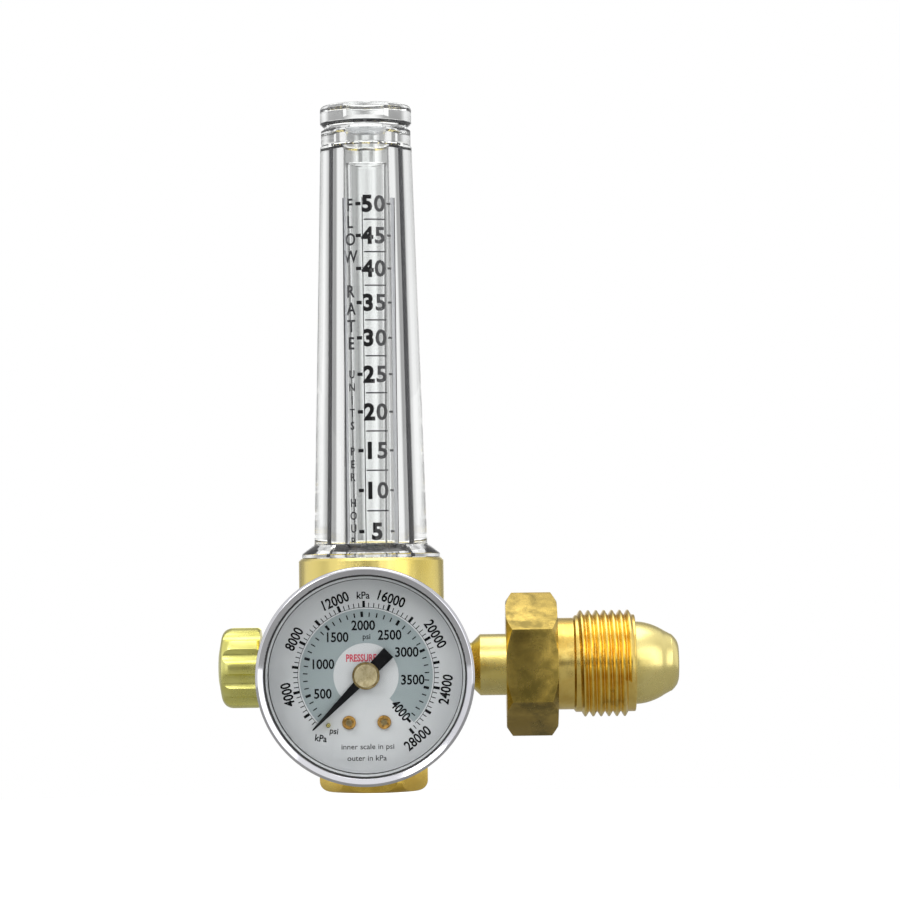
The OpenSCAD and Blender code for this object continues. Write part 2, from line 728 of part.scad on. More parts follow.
// The bourdon tube's section, inset by a distance and turned through an angle
module coil(inset, start) {
    r = coil_r - coil_w / 2 + inset;
    y = gauge_back + coil_back + inset;
    rotate(start) rotate_extrude(angle = coil_tip_angle - coil_start) translate([r, y])
        square([coil_w - 2 * inset, coil_h - 2 * inset]);
}
module bourdon_tube() {
    top = gauge_back + coil_back + coil_h;
    color("peru") along_gauge() {
        difference() {
            coil(0, coil_start);
            coil(coil_wall, coil_start - 4);
        }
        translate(tip_at) rod(coil_pin_r, top - 0.1, top + 2.3);
    }
}
module movement_frame() {
    color("gold") along_gauge() {
        difference() {
            union() {
                rod(plate_r, plate_back, plate_back + plate_t);
                rod(plate_r, plate_front, plate_front + plate_t);
            }
            for (p = [[0, 0], sector_at]) translate(p)
                rod(shaft_r + run, plate_back - cut, plate_front + 2);
        }
        for (a = pillar_angles) rotate(a) translate([plate_r - pillar_in, 0, 0])
            rod(pillar_r, plate_back + plate_t - 0.1, plate_front + 0.1);
    }
}
module sector_gear() {
    contact = sector_angle + 180;
    pitch = 360 / pinion_teeth / gear_ratio;
    color("gold") along_gauge() translate(sector_at) {
        rotate(contact) translate([0, 0, plate_back + 2]) linear_extrude(sector_t)
            polygon(concat([[-0.6, 0]],
                teeth(sector_root, sector_tip, pitch, sector_teeth[0], sector_teeth[1])));
        rod(sector_hub_r, plate_back + 1, plate_front - 0.2);
        rotate(tail_angle) translate([0, -0.8, plate_back + 2]) cube([tail_l, 1.6, sector_t]);
        rotate(tail_angle) translate([tail_l, 0, 0]) {
            rod(1, plate_back + 1.95, plate_back + 3.05);
            rod(link_pin_r, link_back - gap, plate_back + 2);
        }
        rod(shaft_r, plate_back + 0.1, plate_front + plate_t - 0.1);
    }
}
module tip_link() {
    run_to = tip_at - tail_at;
    reach = norm(run_to);
    color("gold") along_gauge() translate(tail_at) rotate(atan2(run_to[1], run_to[0]))
        difference() {
            union() {
                rod(link_r, link_back, link_back + link_t);
                translate([0, -link_w / 2, link_back]) cube([reach, link_w, link_t]);
                translate([reach, 0, 0]) rod(link_r, link_back, link_back + link_t);
            }
            rod(link_pin_r + run, plate_back, plate_back + 3);
            translate([reach, 0, 0]) rod(0.4, plate_back, plate_back + 3);
        }
}
module pinion_shaft() {
    color("silver") along_gauge() {
        rod(shaft_r, plate_back + 0.1, dial_y + 2.3);
        rotate(sector_angle) translate([0, 0, plate_back + 1.7]) linear_extrude(pinion_l)
            rotate(180 / pinion_teeth) polygon(
                teeth(pinion_root, pinion_tip, 360 / pinion_teeth, 0, pinion_teeth - 1));
    }
}
module hairspring() {
    n = hairspring_turns * hairspring_steps;
    edge = function (i, t) (hairspring_r + hairspring_step * i / hairspring_steps + t)
        * [cos(360 * i / hairspring_steps), sin(360 * i / hairspring_steps)];
    color("silver") along_gauge() translate([0, 0, plate_back + 3.5]) linear_extrude(0.5)
        polygon(concat([for (i = [0:n]) edge(i, 0)],
            [for (i = [n:-1:0]) edge(i, hairspring_t)]));
}
module pointer() {
    low = pointer_y;
    high = low + pointer_t;
    tail = pointer_tail[0];
    half = pointer_tail[1] / 2;
    color("black") along_gauge() rotate(zero_angle) difference() {
        union() {
            translate([0, 0, low]) linear_extrude(high - low)
                polygon([[-tail, -half], [-tail, half], [-1.5, 1.2], [0, 1.1],
                    [pointer_l - 0.3, 0.22], [pointer_l, 0], [pointer_l - 0.3, -0.22],
                    [0, -1.1], [-1.5, -1.2]]);
            rod(2.2, low, high);
        }
        rod(pointer_hole_r, low - cut, high + cut);
    }
}
module pointer_hub() {
    color("gold") along_gauge() difference() {
        rotate_extrude() polygon([[shaft_r, dial_y + 1], [hub_neck_r, dial_y + 1],
            [hub_neck_r, dial_y + 1.9], [hub_cap_r - 0.1, dial_y + 1.9],
            [hub_cap_r, dial_y + 2.2], [2.2, dial_y + 2.6],
            [2, dial_y + 3.1], [0, dial_y + 3.1], [0, dial_y + 2.35],
            [shaft_r, dial_y + 2.35]]);
        translate([-2.3, -0.25, dial_y + 2.75]) cube([4.6, 0.5, 1]);
    }
}

barrel_body();
outlet_bushing();
inlet_nipple();
inlet_filter();
inlet_nut();
tube_cover();
tube_cap();
cap_o_ring();
cover_o_ring();
flow_tube();
tube_seat();
tube_seal();
float_ball();
valve_bonnet();
needle_stem();
stem_o_ring();
flow_knob();
knob_screw();
rear_bonnet();
bonnet_screws();
diaphragm();
diaphragm_plate();
main_spring();
spring_button();
adjusting_screw();
adjuster_plug();
valve_nozzle();
poppet();
poppet_spring();
relief_body();
relief_plunger();
relief_spring();
gauge_socket();
gauge_case();
case_plug();
bezel_ring();
gauge_lens();
lens_gasket();
gauge_dial();
dial_screws();
stop_pin();
bourdon_tube();
movement_frame();
sector_gear();
tip_link();
pinion_shaft();
hairspring();
pointer();
pointer_hub();
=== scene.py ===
"""The looks of a flowmeter regulator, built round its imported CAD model.

Lengths inside a class are millimetres along the part's own axis. A piece becomes metres, in the
model's own frame, when it is finished. Each sub-assembly is a class that builds and dresses its
pieces, and main() builds them in order.
"""

import json
import logging
import math
from collections.abc import Callable, Sequence
from dataclasses import dataclass
from enum import Enum

import bmesh
import bpy
from mathutils import Matrix, Vector

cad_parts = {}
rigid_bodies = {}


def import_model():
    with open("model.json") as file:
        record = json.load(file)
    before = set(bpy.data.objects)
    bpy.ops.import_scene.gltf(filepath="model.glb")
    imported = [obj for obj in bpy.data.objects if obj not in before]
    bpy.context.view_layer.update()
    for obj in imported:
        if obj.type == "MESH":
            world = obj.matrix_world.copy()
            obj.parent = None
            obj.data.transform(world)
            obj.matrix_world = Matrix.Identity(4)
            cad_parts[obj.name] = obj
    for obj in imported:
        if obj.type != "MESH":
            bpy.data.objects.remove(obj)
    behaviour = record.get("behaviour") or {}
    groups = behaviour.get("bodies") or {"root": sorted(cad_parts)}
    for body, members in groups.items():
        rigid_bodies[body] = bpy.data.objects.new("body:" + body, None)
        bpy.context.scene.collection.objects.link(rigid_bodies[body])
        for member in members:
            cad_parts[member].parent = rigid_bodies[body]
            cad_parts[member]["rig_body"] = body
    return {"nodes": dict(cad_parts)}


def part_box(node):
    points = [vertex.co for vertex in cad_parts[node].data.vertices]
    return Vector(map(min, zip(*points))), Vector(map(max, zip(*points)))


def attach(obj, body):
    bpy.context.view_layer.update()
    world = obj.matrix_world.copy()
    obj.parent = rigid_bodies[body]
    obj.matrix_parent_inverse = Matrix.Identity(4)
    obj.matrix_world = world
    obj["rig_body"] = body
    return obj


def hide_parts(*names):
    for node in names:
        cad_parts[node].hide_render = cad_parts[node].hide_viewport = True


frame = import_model()

LOG = logging.getLogger("regulator")
MM = 0.001
FULL_TURN = 2 * math.pi
BODY = "regulator_body"
CAPITAL = 0.729  # the height of a capital in the plain typeface, against its size
Point = tuple[float, float]
Colour = tuple[float, float, float]


# ---- places ----
class Way(Enum):
    """The lines that parts are turned about, as the images of a part's own X, Y and Z."""

    TUBE = ((1, 0, 0), (0, 1, 0), (0, 0, 1))
    INLET = ((0, 1, 0), (0, 0, 1), (1, 0, 0))
    VALVE = ((0, -1, 0), (0, 0, 1), (-1, 0, 0))
    GAUGE = ((1, 0, 0), (0, 0, 1), (0, -1, 0))
    BONNET = ((-1, 0, 0), (0, 0, 1), (0, 1, 0))

    @property
    def axis(self) -> Vector:
        """The direction in the model that a part's own +Z takes."""
        return Vector(self.value[2])

    @property
    def height(self) -> float:
        """How high the line lies above the outlet's mouth.

        Returns:
            The height in metres.
        """
        if self is Way.TUBE:
            return 0.0
        low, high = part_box("gauge_dial" if self is Way.GAUGE else "inlet_nut")
        return (low.z + high.z) / 2

    def matrix(self) -> Matrix:
        """What takes a part in millimetres on its own axis into the model, in metres."""
        turned = Matrix(self.value).transposed().to_4x4()
        return Matrix.Translation((0, 0, self.height)) @ turned @ Matrix.Scale(MM, 4)


@dataclass(frozen=True)
class Span:
    """Where a CAD node lies along its own axis, and how far it reaches from it."""

    start: float
    end: float
    radius: float

    @classmethod
    def of(cls, node: str, way: Way) -> "Span":
        """Measures a node.

        Args:
            node: The CAD node's name.
            way: The line that it is turned about.

        Returns:
            The node's ends and outer radius, in millimetres.
        """
        low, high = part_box(node)
        ends = sorted((low.dot(way.axis) / MM, high.dot(way.axis) / MM))
        if way is Way.TUBE:
            return cls(ends[0], ends[1], (high.x - low.x) / 2 / MM)
        return cls(ends[0], ends[1], (high.z - low.z) / 2 / MM)


# ---- shapes ----
def arc(centre: Point, radius: float, start: float, end: float, steps: int = 6) -> list[Point]:
    """Points on an arc.

    Args:
        centre: The arc's centre, as a radius and a height.
        radius: The arc's own radius.
        start: The angle it starts at, in degrees.
        end: The angle it ends at.
        steps: How many pieces it is cut into.

    Returns:
        The points from start to end.
    """
    angles = [math.radians(start + (end - start) * i / steps) for i in range(steps + 1)]
    return [(centre[0] + radius * math.cos(a), centre[1] + radius * math.sin(a)) for a in angles]


class Stock:
    """A piece on the bench: a mesh in millimetres, with its axis on +Z."""

    def __init__(self) -> None:
        """Starts with nothing on the bench."""
        self.bm = bmesh.new()

    @classmethod
    def of_node(cls, node: str) -> "Stock":
        """Copies and merges a CAD node's mesh, in the model's own frame.

        Args:
            node: The node's name.

        Returns:
            The copy, in metres.
        """
        made = cls()
        made.bm.from_mesh(frame["nodes"][node].data)
        bmesh.ops.remove_doubles(made.bm, verts=made.bm.verts, dist=1e-7)
        bmesh.ops.dissolve_limit(
            made.bm, angle_limit=math.radians(0.2), verts=made.bm.verts, edges=made.bm.edges
        )
        return made

    def turn(self, outline: Sequence[Point], steps: int = 128) -> "Stock":
        """Turns an outline of (radius, height) points about +Z.

        Args:
            outline: The points, in order round the section.
            steps: How many sides the turned piece has.

        Returns:
            The stock itself.
        """
        bm = bmesh.new()
        verts = [bm.verts.new((r, 0.0, z)) for r, z in outline]
        edges = [bm.edges.new(pair) for pair in zip(verts, verts[1:])]
        if outline[0][0] > 0 or outline[-1][0] > 0:
            edges.append(bm.edges.new((verts[-1], verts[0])))
        bmesh.ops.spin(
            bm, geom=verts + edges, cent=(0, 0, 0), axis=(0, 0, 1), angle=FULL_TURN,
            steps=steps, use_merge=True,
        )
        bmesh.ops.remove_doubles(bm, verts=bm.verts, dist=1e-5)
        bmesh.ops.recalc_face_normals(bm, faces=bm.faces)
        return self.take(bm)

    def prism(self, sides: int, radius: float, low: float, high: float,
              turned: float = 0) -> "Stock":
        """Adds an upright prism.

        Args:
            sides: How many sides it has.
            radius: Its radius over the corners.
            low: The height of its foot.
            high: The height of its top.
            turned: How far it is turned about +Z, in degrees.

        Returns:
            The stock itself.
        """
        bm = bmesh.new()
        place = Matrix.Translation((0, 0, (low + high) / 2)) @ Matrix.Rotation(
            math.radians(turned), 4, "Z"
        )
        bmesh.ops.create_cone(
            bm, cap_ends=True, segments=sides, radius1=radius, radius2=radius,
            depth=high - low, matrix=place,
        )
        return self.take(bm)

    def block(self, size: Sequence[float], centre: Sequence[float], turned: float = 0) -> "Stock":
        """Adds a block.

        Args:
            size: Its three sides.
            centre: Where its middle is, before it is turned.
            turned: How far it is turned about +Z, in degrees.

        Returns:
            The stock itself.
        """
        bm = bmesh.new()
        place = Matrix.Rotation(math.radians(turned), 4, "Z") @ Matrix.Translation(centre)
        bmesh.ops.create_cube(bm, size=1, matrix=place @ Matrix.Diagonal((*size, 1)))
        return self.take(bm)

    def take(self, bm: bmesh.types.BMesh, place: Matrix | None = None) -> "Stock":
        """Puts another mesh beside what is here, and frees it.

        Args:
            bm: The other mesh.
            place: Where it is moved to first, if anywhere.

        Returns:
            The stock itself.
        """
        if place is not None:
            bm.transform(place)
        scratch = bpy.data.meshes.new("scratch")
        bm.to_mesh(scratch)
        bm.free()
        self.bm.from_mesh(scratch)
        bpy.data.meshes.remove(scratch)
        return self

    def repeated(self, count: int, radius: float, turned: float = 0) -> "Stock":
        """Copies the stock round a circle.

        Args:
            count: How many copies stand on the circle.
            radius: The circle's radius.
            turned: Where the first one stands, in degrees.

        Returns:
            A new stock that holds every copy.
        """
        made = Stock()
        for k in range(count):
            place = Matrix.Rotation(math.radians(turned + 360 * k / count), 4, "Z")
            made.take(self.bm.copy(), place @ Matrix.Translation((radius, 0, 0)))
        return made

    def cut(self, tool: "Stock", operation: str = "DIFFERENCE") -> "Stock":
        """Cuts the stock with another one, or joins or intersects them.

        Args:
            tool: The other stock.
            operation: DIFFERENCE, UNION or INTERSECT.

        Returns:
            The stock itself.
        """
        pieces = []
        for stock in (self, tool):
            mesh = bpy.data.meshes.new("scratch")
            stock.bm.to_mesh(mesh)
            pieces.append(bpy.data.objects.new("scratch", mesh))
            bpy.context.scene.collection.objects.link(pieces[-1])
        step = pieces[0].modifiers.new("cut", "BOOLEAN")
        step.object, step.operation, step.solver = pieces[1], operation, "EXACT"
        shaped = pieces[0].evaluated_get(bpy.context.evaluated_depsgraph_get())
        made = bpy.data.meshes.new_from_object(shaped)
        self.bm.clear()
        self.bm.from_mesh(made)
        bpy.data.meshes.remove(made)
        for piece in pieces:
            bpy.data.meshes.remove(piece.data)
        bmesh.ops.remove_doubles(self.bm, verts=self.bm.verts, dist=1e-4)
        return self

    def soften(self, width: float, angle: float = 28, segments: int = 2) -> "Stock":
        """Rounds the sharp edges.

        Args:
            width: How far from the edge the rounding starts.
            angle: The angle between faces, in degrees, from which an edge is sharp.
            segments: How many strips the rounding has.

        Returns:
            The stock itself.
        """
        limit = math.radians(angle)
        sharp = [e for e in self.bm.edges if e.is_manifold and e.calc_face_angle(0) > limit]
        bmesh.ops.bevel(
            self.bm, geom=sharp, offset=width, offset_type="OFFSET", segments=segments,
            profile=0.5, affect="EDGES", clamp_overlap=True, material=-1,
        )
        return self

    def reshape(self, moved: Callable[[Vector], Vector]) -> "Stock":
        """Moves every vertex by a rule."""
        for v in self.bm.verts:
            v.co = moved(v.co)
        return self


@dataclass
class Job:
    """How a finished piece is entered: its name, place, finish and what it stands for."""

    name: str
    way: Way | None
    slot: str
    finish: bpy.types.Material
    stands_for: tuple[str, ...] = ()
    body: str = BODY
    smooth: float = 32

    def done(self, stock: Stock) -> bpy.types.Object:
        """Makes the piece.

        Args:
            stock: The shaped stock, which is used up.

        Returns:
            The piece, which rides on its body.
        """
        mesh = bpy.data.meshes.new(self.name)
        if self.way is not None:
            stock.bm.transform(self.way.matrix())
        stock.bm.to_mesh(mesh)
        stock.bm.free()
        mesh.shade_smooth()
        mesh.set_sharp_from_angle(angle=math.radians(self.smooth))
        mesh.materials.append(self.finish)
        piece = bpy.data.objects.new(self.name, mesh)
        bpy.context.scene.collection.objects.link(piece)
        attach(piece, self.body)
        if self.stands_for:
            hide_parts(*self.stands_for)
        LOG.info("%s: %d faces on %s", self.name, len(mesh.polygons), self.body)
        return piece


def lettering(words: str, height: float, weight: float = 0,
              narrow: float = 0.8) -> bmesh.types.BMesh:
    """Flat letters, centred on the origin.

    Args:
        words: What they say.
        height: The height of a capital, in millimetres.
        weight: How much bolder than plain they are, as a share of their height.
        narrow: Their width against plain letters.

    Returns:
        A mesh of the letters, facing +Z.
    """
    curve = bpy.data.curves.new("letters", "FONT")
    curve.body = words
    curve.align_x, curve.align_y = "CENTER", "CENTER"
    curve.resolution_u = 3
    curve.offset = weight
    curve.size = 1.0
    typed = bpy.data.objects.new("letters", curve)
    bpy.context.scene.collection.objects.link(typed)
    flat = bpy.data.meshes.new_from_object(
        typed.evaluated_get(bpy.context.evaluated_depsgraph_get())
    )
    bm = bmesh.new()
    bm.from_mesh(flat)
    lows, highs = ([f(v.co[i] for v in bm.verts) for i in (0, 1)] for f in (min, max))
    bmesh.ops.translate(
        bm, verts=bm.verts, vec=(-(lows[0] + highs[0]) / 2, -(lows[1] + highs[1]) / 2, 0)
    )
    size = height / CAPITAL
    bmesh.ops.scale(bm, verts=bm.verts, vec=(size * narrow, size, 1))
    bpy.data.objects.remove(typed)
    bpy.data.curves.remove(curve)
    bpy.data.meshes.remove(flat)
    return bm


# ---- finishes ----
class Wires:
    """A node tree, with short ways to add and join nodes."""

    def __init__(self, tree: bpy.types.NodeTree) -> None:
        """Takes a tree to add to."""
        self.tree = tree

    def feed(self, socket: bpy.types.NodeSocket, value: object) -> None:
        """Joins an input to a socket, or sets it to a value.

        Args:
            socket: The input.
            value: A socket, or what the input is set to.
        """
        if isinstance(value, bpy.types.NodeSocket):
            self.tree.links.new(value, socket)
        else:
            socket.default_value = value

    def node(self, kind: str, **settings: object) -> bpy.types.Node:
        """Adds a node.

        Args:
            kind: The node's kind, such as TexNoise.
            settings: Its settings, and its inputs by name with _ for a space.

        Returns:
            The node.
        """
        made = self.tree.nodes.new("ShaderNode" + kind)
        for name, value in settings.items():
            if hasattr(made, name):
                setattr(made, name, value)
            else:
                self.feed(made.inputs[name.replace("_", " ")], value)
        return made

    def maths(self, operation: str, *values: object) -> bpy.types.NodeSocket:
        """Adds a Math node.

        Args:
            operation: What it does.
            values: Its inputs, as numbers or sockets.

        Returns:
            Its result.
        """
        made = self.node("Math", operation=operation)
        for socket, value in zip(made.inputs, values):
            self.feed(socket, value)
        return made.outputs[0]

    def dot(self, first: bpy.types.NodeSocket,
            second: bpy.types.NodeSocket) -> bpy.types.NodeSocket:
        """Multiplies two vectors into one number.

        Args:
            first: The first vector.
            second: The second vector.

        Returns:
            The number.
        """
        made = self.node("VectorMath", operation="DOT_PRODUCT")
        self.feed(made.inputs[0], first)
        self.feed(made.inputs[1], second)
        return made.outputs["Value"]

    def span(self, value: bpy.types.NodeSocket, low: float, high: float, to_low: float = 0,
             to_high: float = 1) -> bpy.types.NodeSocket:
        """Maps a value from one span to another, kept inside it."""
        made = self.node("MapRange", Value=value, From_Min=low, From_Max=high, To_Min=to_low,
                         To_Max=to_high)
        return made.outputs["Result"]

    def mix(self, share: object, first: object, second: object) -> bpy.types.NodeSocket:
        """Mixes two colours.

        Args:
            share: How much of the second there is, as a socket.
            first: The first colour, as a colour or a socket.
            second: The second one.

        Returns:
            The mixed colour.
        """
        made = self.node("Mix", data_type="RGBA")
        for name, value in (("Factor_Float", share), ("A_Color", first), ("B_Color", second)):
            socket = next(s for s in made.inputs if s.identifier == name)
            self.feed(socket, (*value, 1.0) if isinstance(value, tuple) else value)
        return next(s for s in made.outputs if s.identifier == "Result_Color")


class Effect(Enum):
    """The effects that several finishes share, each a node group that is built once."""

    GROOVES = "tool_grooves"
    BLOTCHES = "blotches"
    WORN_EDGES = "worn_edges"
    HANDLING = "handling"

    def group(self) -> bpy.types.NodeTree:
        """Finds the effect's node group.

        Returns:
            The group, which is built when it is first asked for.
        """
        found = bpy.data.node_groups.get(self.value)
        if found is None:
            found = bpy.data.node_groups.new(self.value, "ShaderNodeTree")
            builders = {
                Effect.GROOVES: self.build_grooves,
                Effect.BLOTCHES: self.build_blotches,
                Effect.WORN_EDGES: self.build_worn_edges,
                Effect.HANDLING: self.build_handling,
            }
            builders[self](found)
        return found

    @staticmethod
    def sockets(tree: bpy.types.NodeTree, result: str, **inputs: str) -> tuple:
        """Gives a group its inputs and its one output.

        Args:
            tree: The group's tree.
            result: The name of its output, a number.
            inputs: The kind of each input, Vector or Float, by its name with _ for a space.

        Returns:
            The group's wires, what it is given, and the socket that its result goes to.
        """
        for name, kind in inputs.items():
            tree.interface.new_socket(name.replace("_", " "), in_out="INPUT",
                                      socket_type="NodeSocket" + kind)
        tree.interface.new_socket(result, in_out="OUTPUT", socket_type="NodeSocketFloat")
        entry, end = tree.nodes.new("NodeGroupInput"), tree.nodes.new("NodeGroupOutput")
        return Wires(tree), entry.outputs, end.inputs[result]

    def build_grooves(self, tree: bpy.types.NodeTree) -> None:
        """Builds the fine rings that a turning tool leaves, as a height along an axis.

        Args:
            tree: The group's tree.
        """
        w, given, height = self.sockets(tree, "Height", Vector="Vector", Axis="Vector",
                                        Rings_per_metre="Float")
        at = w.maths("MULTIPLY", w.dot(given["Vector"], given["Axis"]), given["Rings per metre"])
        rings = w.node("TexNoise", noise_dimensions="1D", W=at, Scale=1.0, Detail=3.0,
                       Roughness=0.7)
        w.feed(height, rings.outputs["Fac"])

    def build_blotches(self, tree: bpy.types.NodeTree) -> None:
        """Builds uneven stains, as a mask with soft and ragged borders.

        Args:
            tree: The group's tree.
        """
        w, given, mask = self.sockets(tree, "Mask", Vector="Vector", Scale="Float", Cover="Float")
        wide = w.node("TexNoise", Vector=given["Vector"], Scale=given["Scale"], Detail=6.0,
                      Roughness=0.62, Distortion=0.6)
        fine = w.node("TexNoise", Vector=given["Vector"],
                      Scale=w.maths("MULTIPLY", given["Scale"], 5.0), Detail=4.0)
        mixed = w.maths("ADD", w.maths("MULTIPLY", wide.outputs["Fac"], 0.75),
                        w.maths("MULTIPLY", fine.outputs["Fac"], 0.25))
        low = w.maths("SUBTRACT", 0.62, w.maths("MULTIPLY", given["Cover"], 0.3))
        edge = w.node("MapRange", Value=mixed, From_Min=low, From_Max=w.maths("ADD", low, 0.14))
        w.feed(mask, edge.outputs["Result"])

    def build_worn_edges(self, tree: bpy.types.NodeTree) -> None:
        """Builds where corners stand out and get rubbed bright, as a ragged mask.

        Args:
            tree: The group's tree.
        """
        w, given, mask = self.sockets(tree, "Mask", Vector="Vector", Width="Float")
        rounded = w.node("Bevel", samples=4, Radius=given["Width"])
        alike = w.dot(rounded.outputs["Normal"], w.node("NewGeometry").outputs["Normal"])
        ragged = w.node("TexNoise", Vector=given["Vector"], Scale=900.0, Detail=3.0)
        turned = w.maths("SUBTRACT", 1.0, alike)
        raw = w.maths("MULTIPLY", turned, w.maths("ADD", ragged.outputs["Fac"], 0.5))
        w.feed(mask, w.span(raw, 0.02, 0.16))

    def build_handling(self, tree: bpy.types.NodeTree) -> None:
        """Builds smears and light scratches that change how rough a surface is.

        Args:
            tree: The group's tree.
        """
        w, given, rough = self.sockets(tree, "Roughness", Vector="Vector", Base="Float",
                                       Spread="Float")
        smear = w.node("TexNoise", Vector=given["Vector"], Scale=130.0, Detail=5.0,
                       Distortion=1.2)
        grain = w.node("TexNoise", Vector=given["Vector"], Scale=2600.0, Detail=2.0)
        both = w.maths("ADD", w.maths("MULTIPLY", smear.outputs["Fac"], 0.8),
                       w.maths("MULTIPLY", grain.outputs["Fac"], 0.2))
        about = w.maths("MULTIPLY", w.maths("SUBTRACT", both, 0.5), given["Spread"])
        w.feed(rough, w.maths("ADD", about, given["Base"]))


@dataclass(frozen=True)
class Finish:
    """What every finish has: a name, and a material with one Principled shader."""

    name: str

    def start(self) -> tuple[bpy.types.Material, Wires, bpy.types.Node, bpy.types.NodeSocket]:
        """Starts the material.

        Returns:
            The material, its wires, its shader and the coordinates of its piece.
        """
        made = bpy.data.materials.new(self.name)
        made.use_nodes = True
        w = Wires(made.node_tree)
        shader = made.node_tree.nodes["Principled BSDF"]
        return made, w, shader, w.node("TexCoord").outputs["Object"]

    @staticmethod
    def effect(w: Wires, effect: Effect, **values: object) -> bpy.types.NodeSocket:
        """Places an effect's group in the material.

        Args:
            w: The material's wires.
            effect: The effect.
            values: Its inputs by name, with _ for a space.

        Returns:
            What the effect puts out.
        """
        made = w.node("Group", node_tree=effect.group())
        for name, value in values.items():
            w.feed(made.inputs[name.replace("_", " ")], value)
        return made.outputs[0]


@dataclass(frozen=True)
class Metal(Finish):
    """A turned or milled metal: two shades, stains, rubbed edges and tool marks, and painted shade
    inside a radius where asked.
    """

    light: Colour = (0.8, 0.6, 0.25)
    deep: Colour = (0.6, 0.42, 0.14)
    stain: Colour = (0.3, 0.2, 0.07)
    stained: float = 0.3
    stain_scale: float = 60
    roughness: float = 0.25
    spread: float = 0.2
    way: Way = Way.TUBE
    rings: float = 9000
    groove: float = 0.12
    dents: float = 0.0
    edge: float = 0.0004
    dark_within: float = 0.0

    def build(self) -> bpy.types.Material:
        """Builds the material.

        Returns:
            The material.
        """
        made, w, shader, place = self.start()
        cloud = self.effect(w, Effect.BLOTCHES, Vector=place, Scale=self.stain_scale * 0.45,
                            Cover=0.6)
        spots = self.effect(w, Effect.BLOTCHES, Vector=place, Scale=self.stain_scale,
                            Cover=self.stained)
        worn = self.effect(w, Effect.WORN_EDGES, Vector=place, Width=self.edge)
        tone = w.mix(cloud, self.light, self.deep)
        tone = w.mix(w.maths("MULTIPLY", spots, min(1.0, self.stained * 1.6)), tone, self.stain)
        tone = w.mix(w.maths("MULTIPLY", worn, 0.7), tone, self.light)
        # Painted shade: near-black within the given radius of the Z axis.
        if self.dark_within:
            flat = w.node("Mapping", Vector=place, Scale=(1.0, 1.0, 0.0))
            out = w.node("VectorMath", operation="LENGTH", Vector=flat.outputs["Vector"])
            inside = w.maths("LESS_THAN", out.outputs["Value"], self.dark_within)
            tone = w.mix(inside, tone, (0.05, 0.03, 0.012))
        w.feed(shader.inputs["Base Color"], tone)
        shader.inputs["Metallic"].default_value = 1.0
        rough = self.effect(w, Effect.HANDLING, Vector=place, Base=self.roughness,
                            Spread=self.spread)
        dull = w.maths("ADD", rough, w.maths("MULTIPLY", spots, self.stained * 0.25))
        w.feed(shader.inputs["Roughness"], dull)
        rings = self.effect(w, Effect.GROOVES, Vector=place, Axis=tuple(self.way.axis),
                            Rings_per_metre=self.rings)
        height = w.maths("MULTIPLY", rings, self.groove)
        if self.dents:
            pits = w.node("TexNoise", Vector=place, Scale=240.0, Detail=5.0, Roughness=0.6)
            height = w.maths("ADD", height, w.maths("MULTIPLY", pits.outputs["Fac"], self.dents))
        bump = w.node("Bump", Height=height, Strength=0.5, Distance=0.0001)
        w.feed(shader.inputs["Normal"], bump.outputs["Normal"])
        return made


@dataclass(frozen=True)
class ClearPlastic(Finish):
    """Clear moulded plastic with a faint tint, smears, and drawn lines along its length."""

    tint: Colour = (0.975, 0.985, 0.98)
    bends: float = 1.58
    roughness: float = 0.012
    lets_lamps_through: float = 0.92

    def build(self) -> bpy.types.Material:
        """Builds the material. Rays from lamps pass it, so that what is inside is lit.

        Returns:
            The material.
        """
        made, w, shader, place = self.start()
        shader.inputs["Base Color"].default_value = (*self.tint, 1)
        shader.inputs["Transmission Weight"].default_value = 1.0
        shader.inputs["IOR"].default_value = self.bends
        rough = self.effect(w, Effect.HANDLING, Vector=place, Base=self.roughness,
                            Spread=0.03)
        w.feed(shader.inputs["Roughness"], w.maths("MAXIMUM", rough, 0.0))
        stretched = w.node("Mapping", Vector=place, Scale=(700.0, 700.0, 12.0))
        drawn = w.node("TexNoise", Vector=stretched.outputs["Vector"], Scale=1.0, Detail=2.0)
        bump = w.node("Bump", Height=drawn.outputs["Fac"], Strength=0.06, Distance=0.0002)
        w.feed(shader.inputs["Normal"], bump.outputs["Normal"])
        path = w.node("LightPath")
        lamps = w.node("BsdfTransparent", Color=(*(self.lets_lamps_through,) * 3, 1))
        both = w.node("MixShader")
        w.feed(both.inputs[0], path.outputs["Is Shadow Ray"])
        w.feed(both.inputs[1], shader.outputs[0])
        w.feed(both.inputs[2], lamps.outputs[0])
        out = next(n for n in w.tree.nodes if n.type == "OUTPUT_MATERIAL")
        w.feed(out.inputs["Surface"], both.outputs[0])
        return made


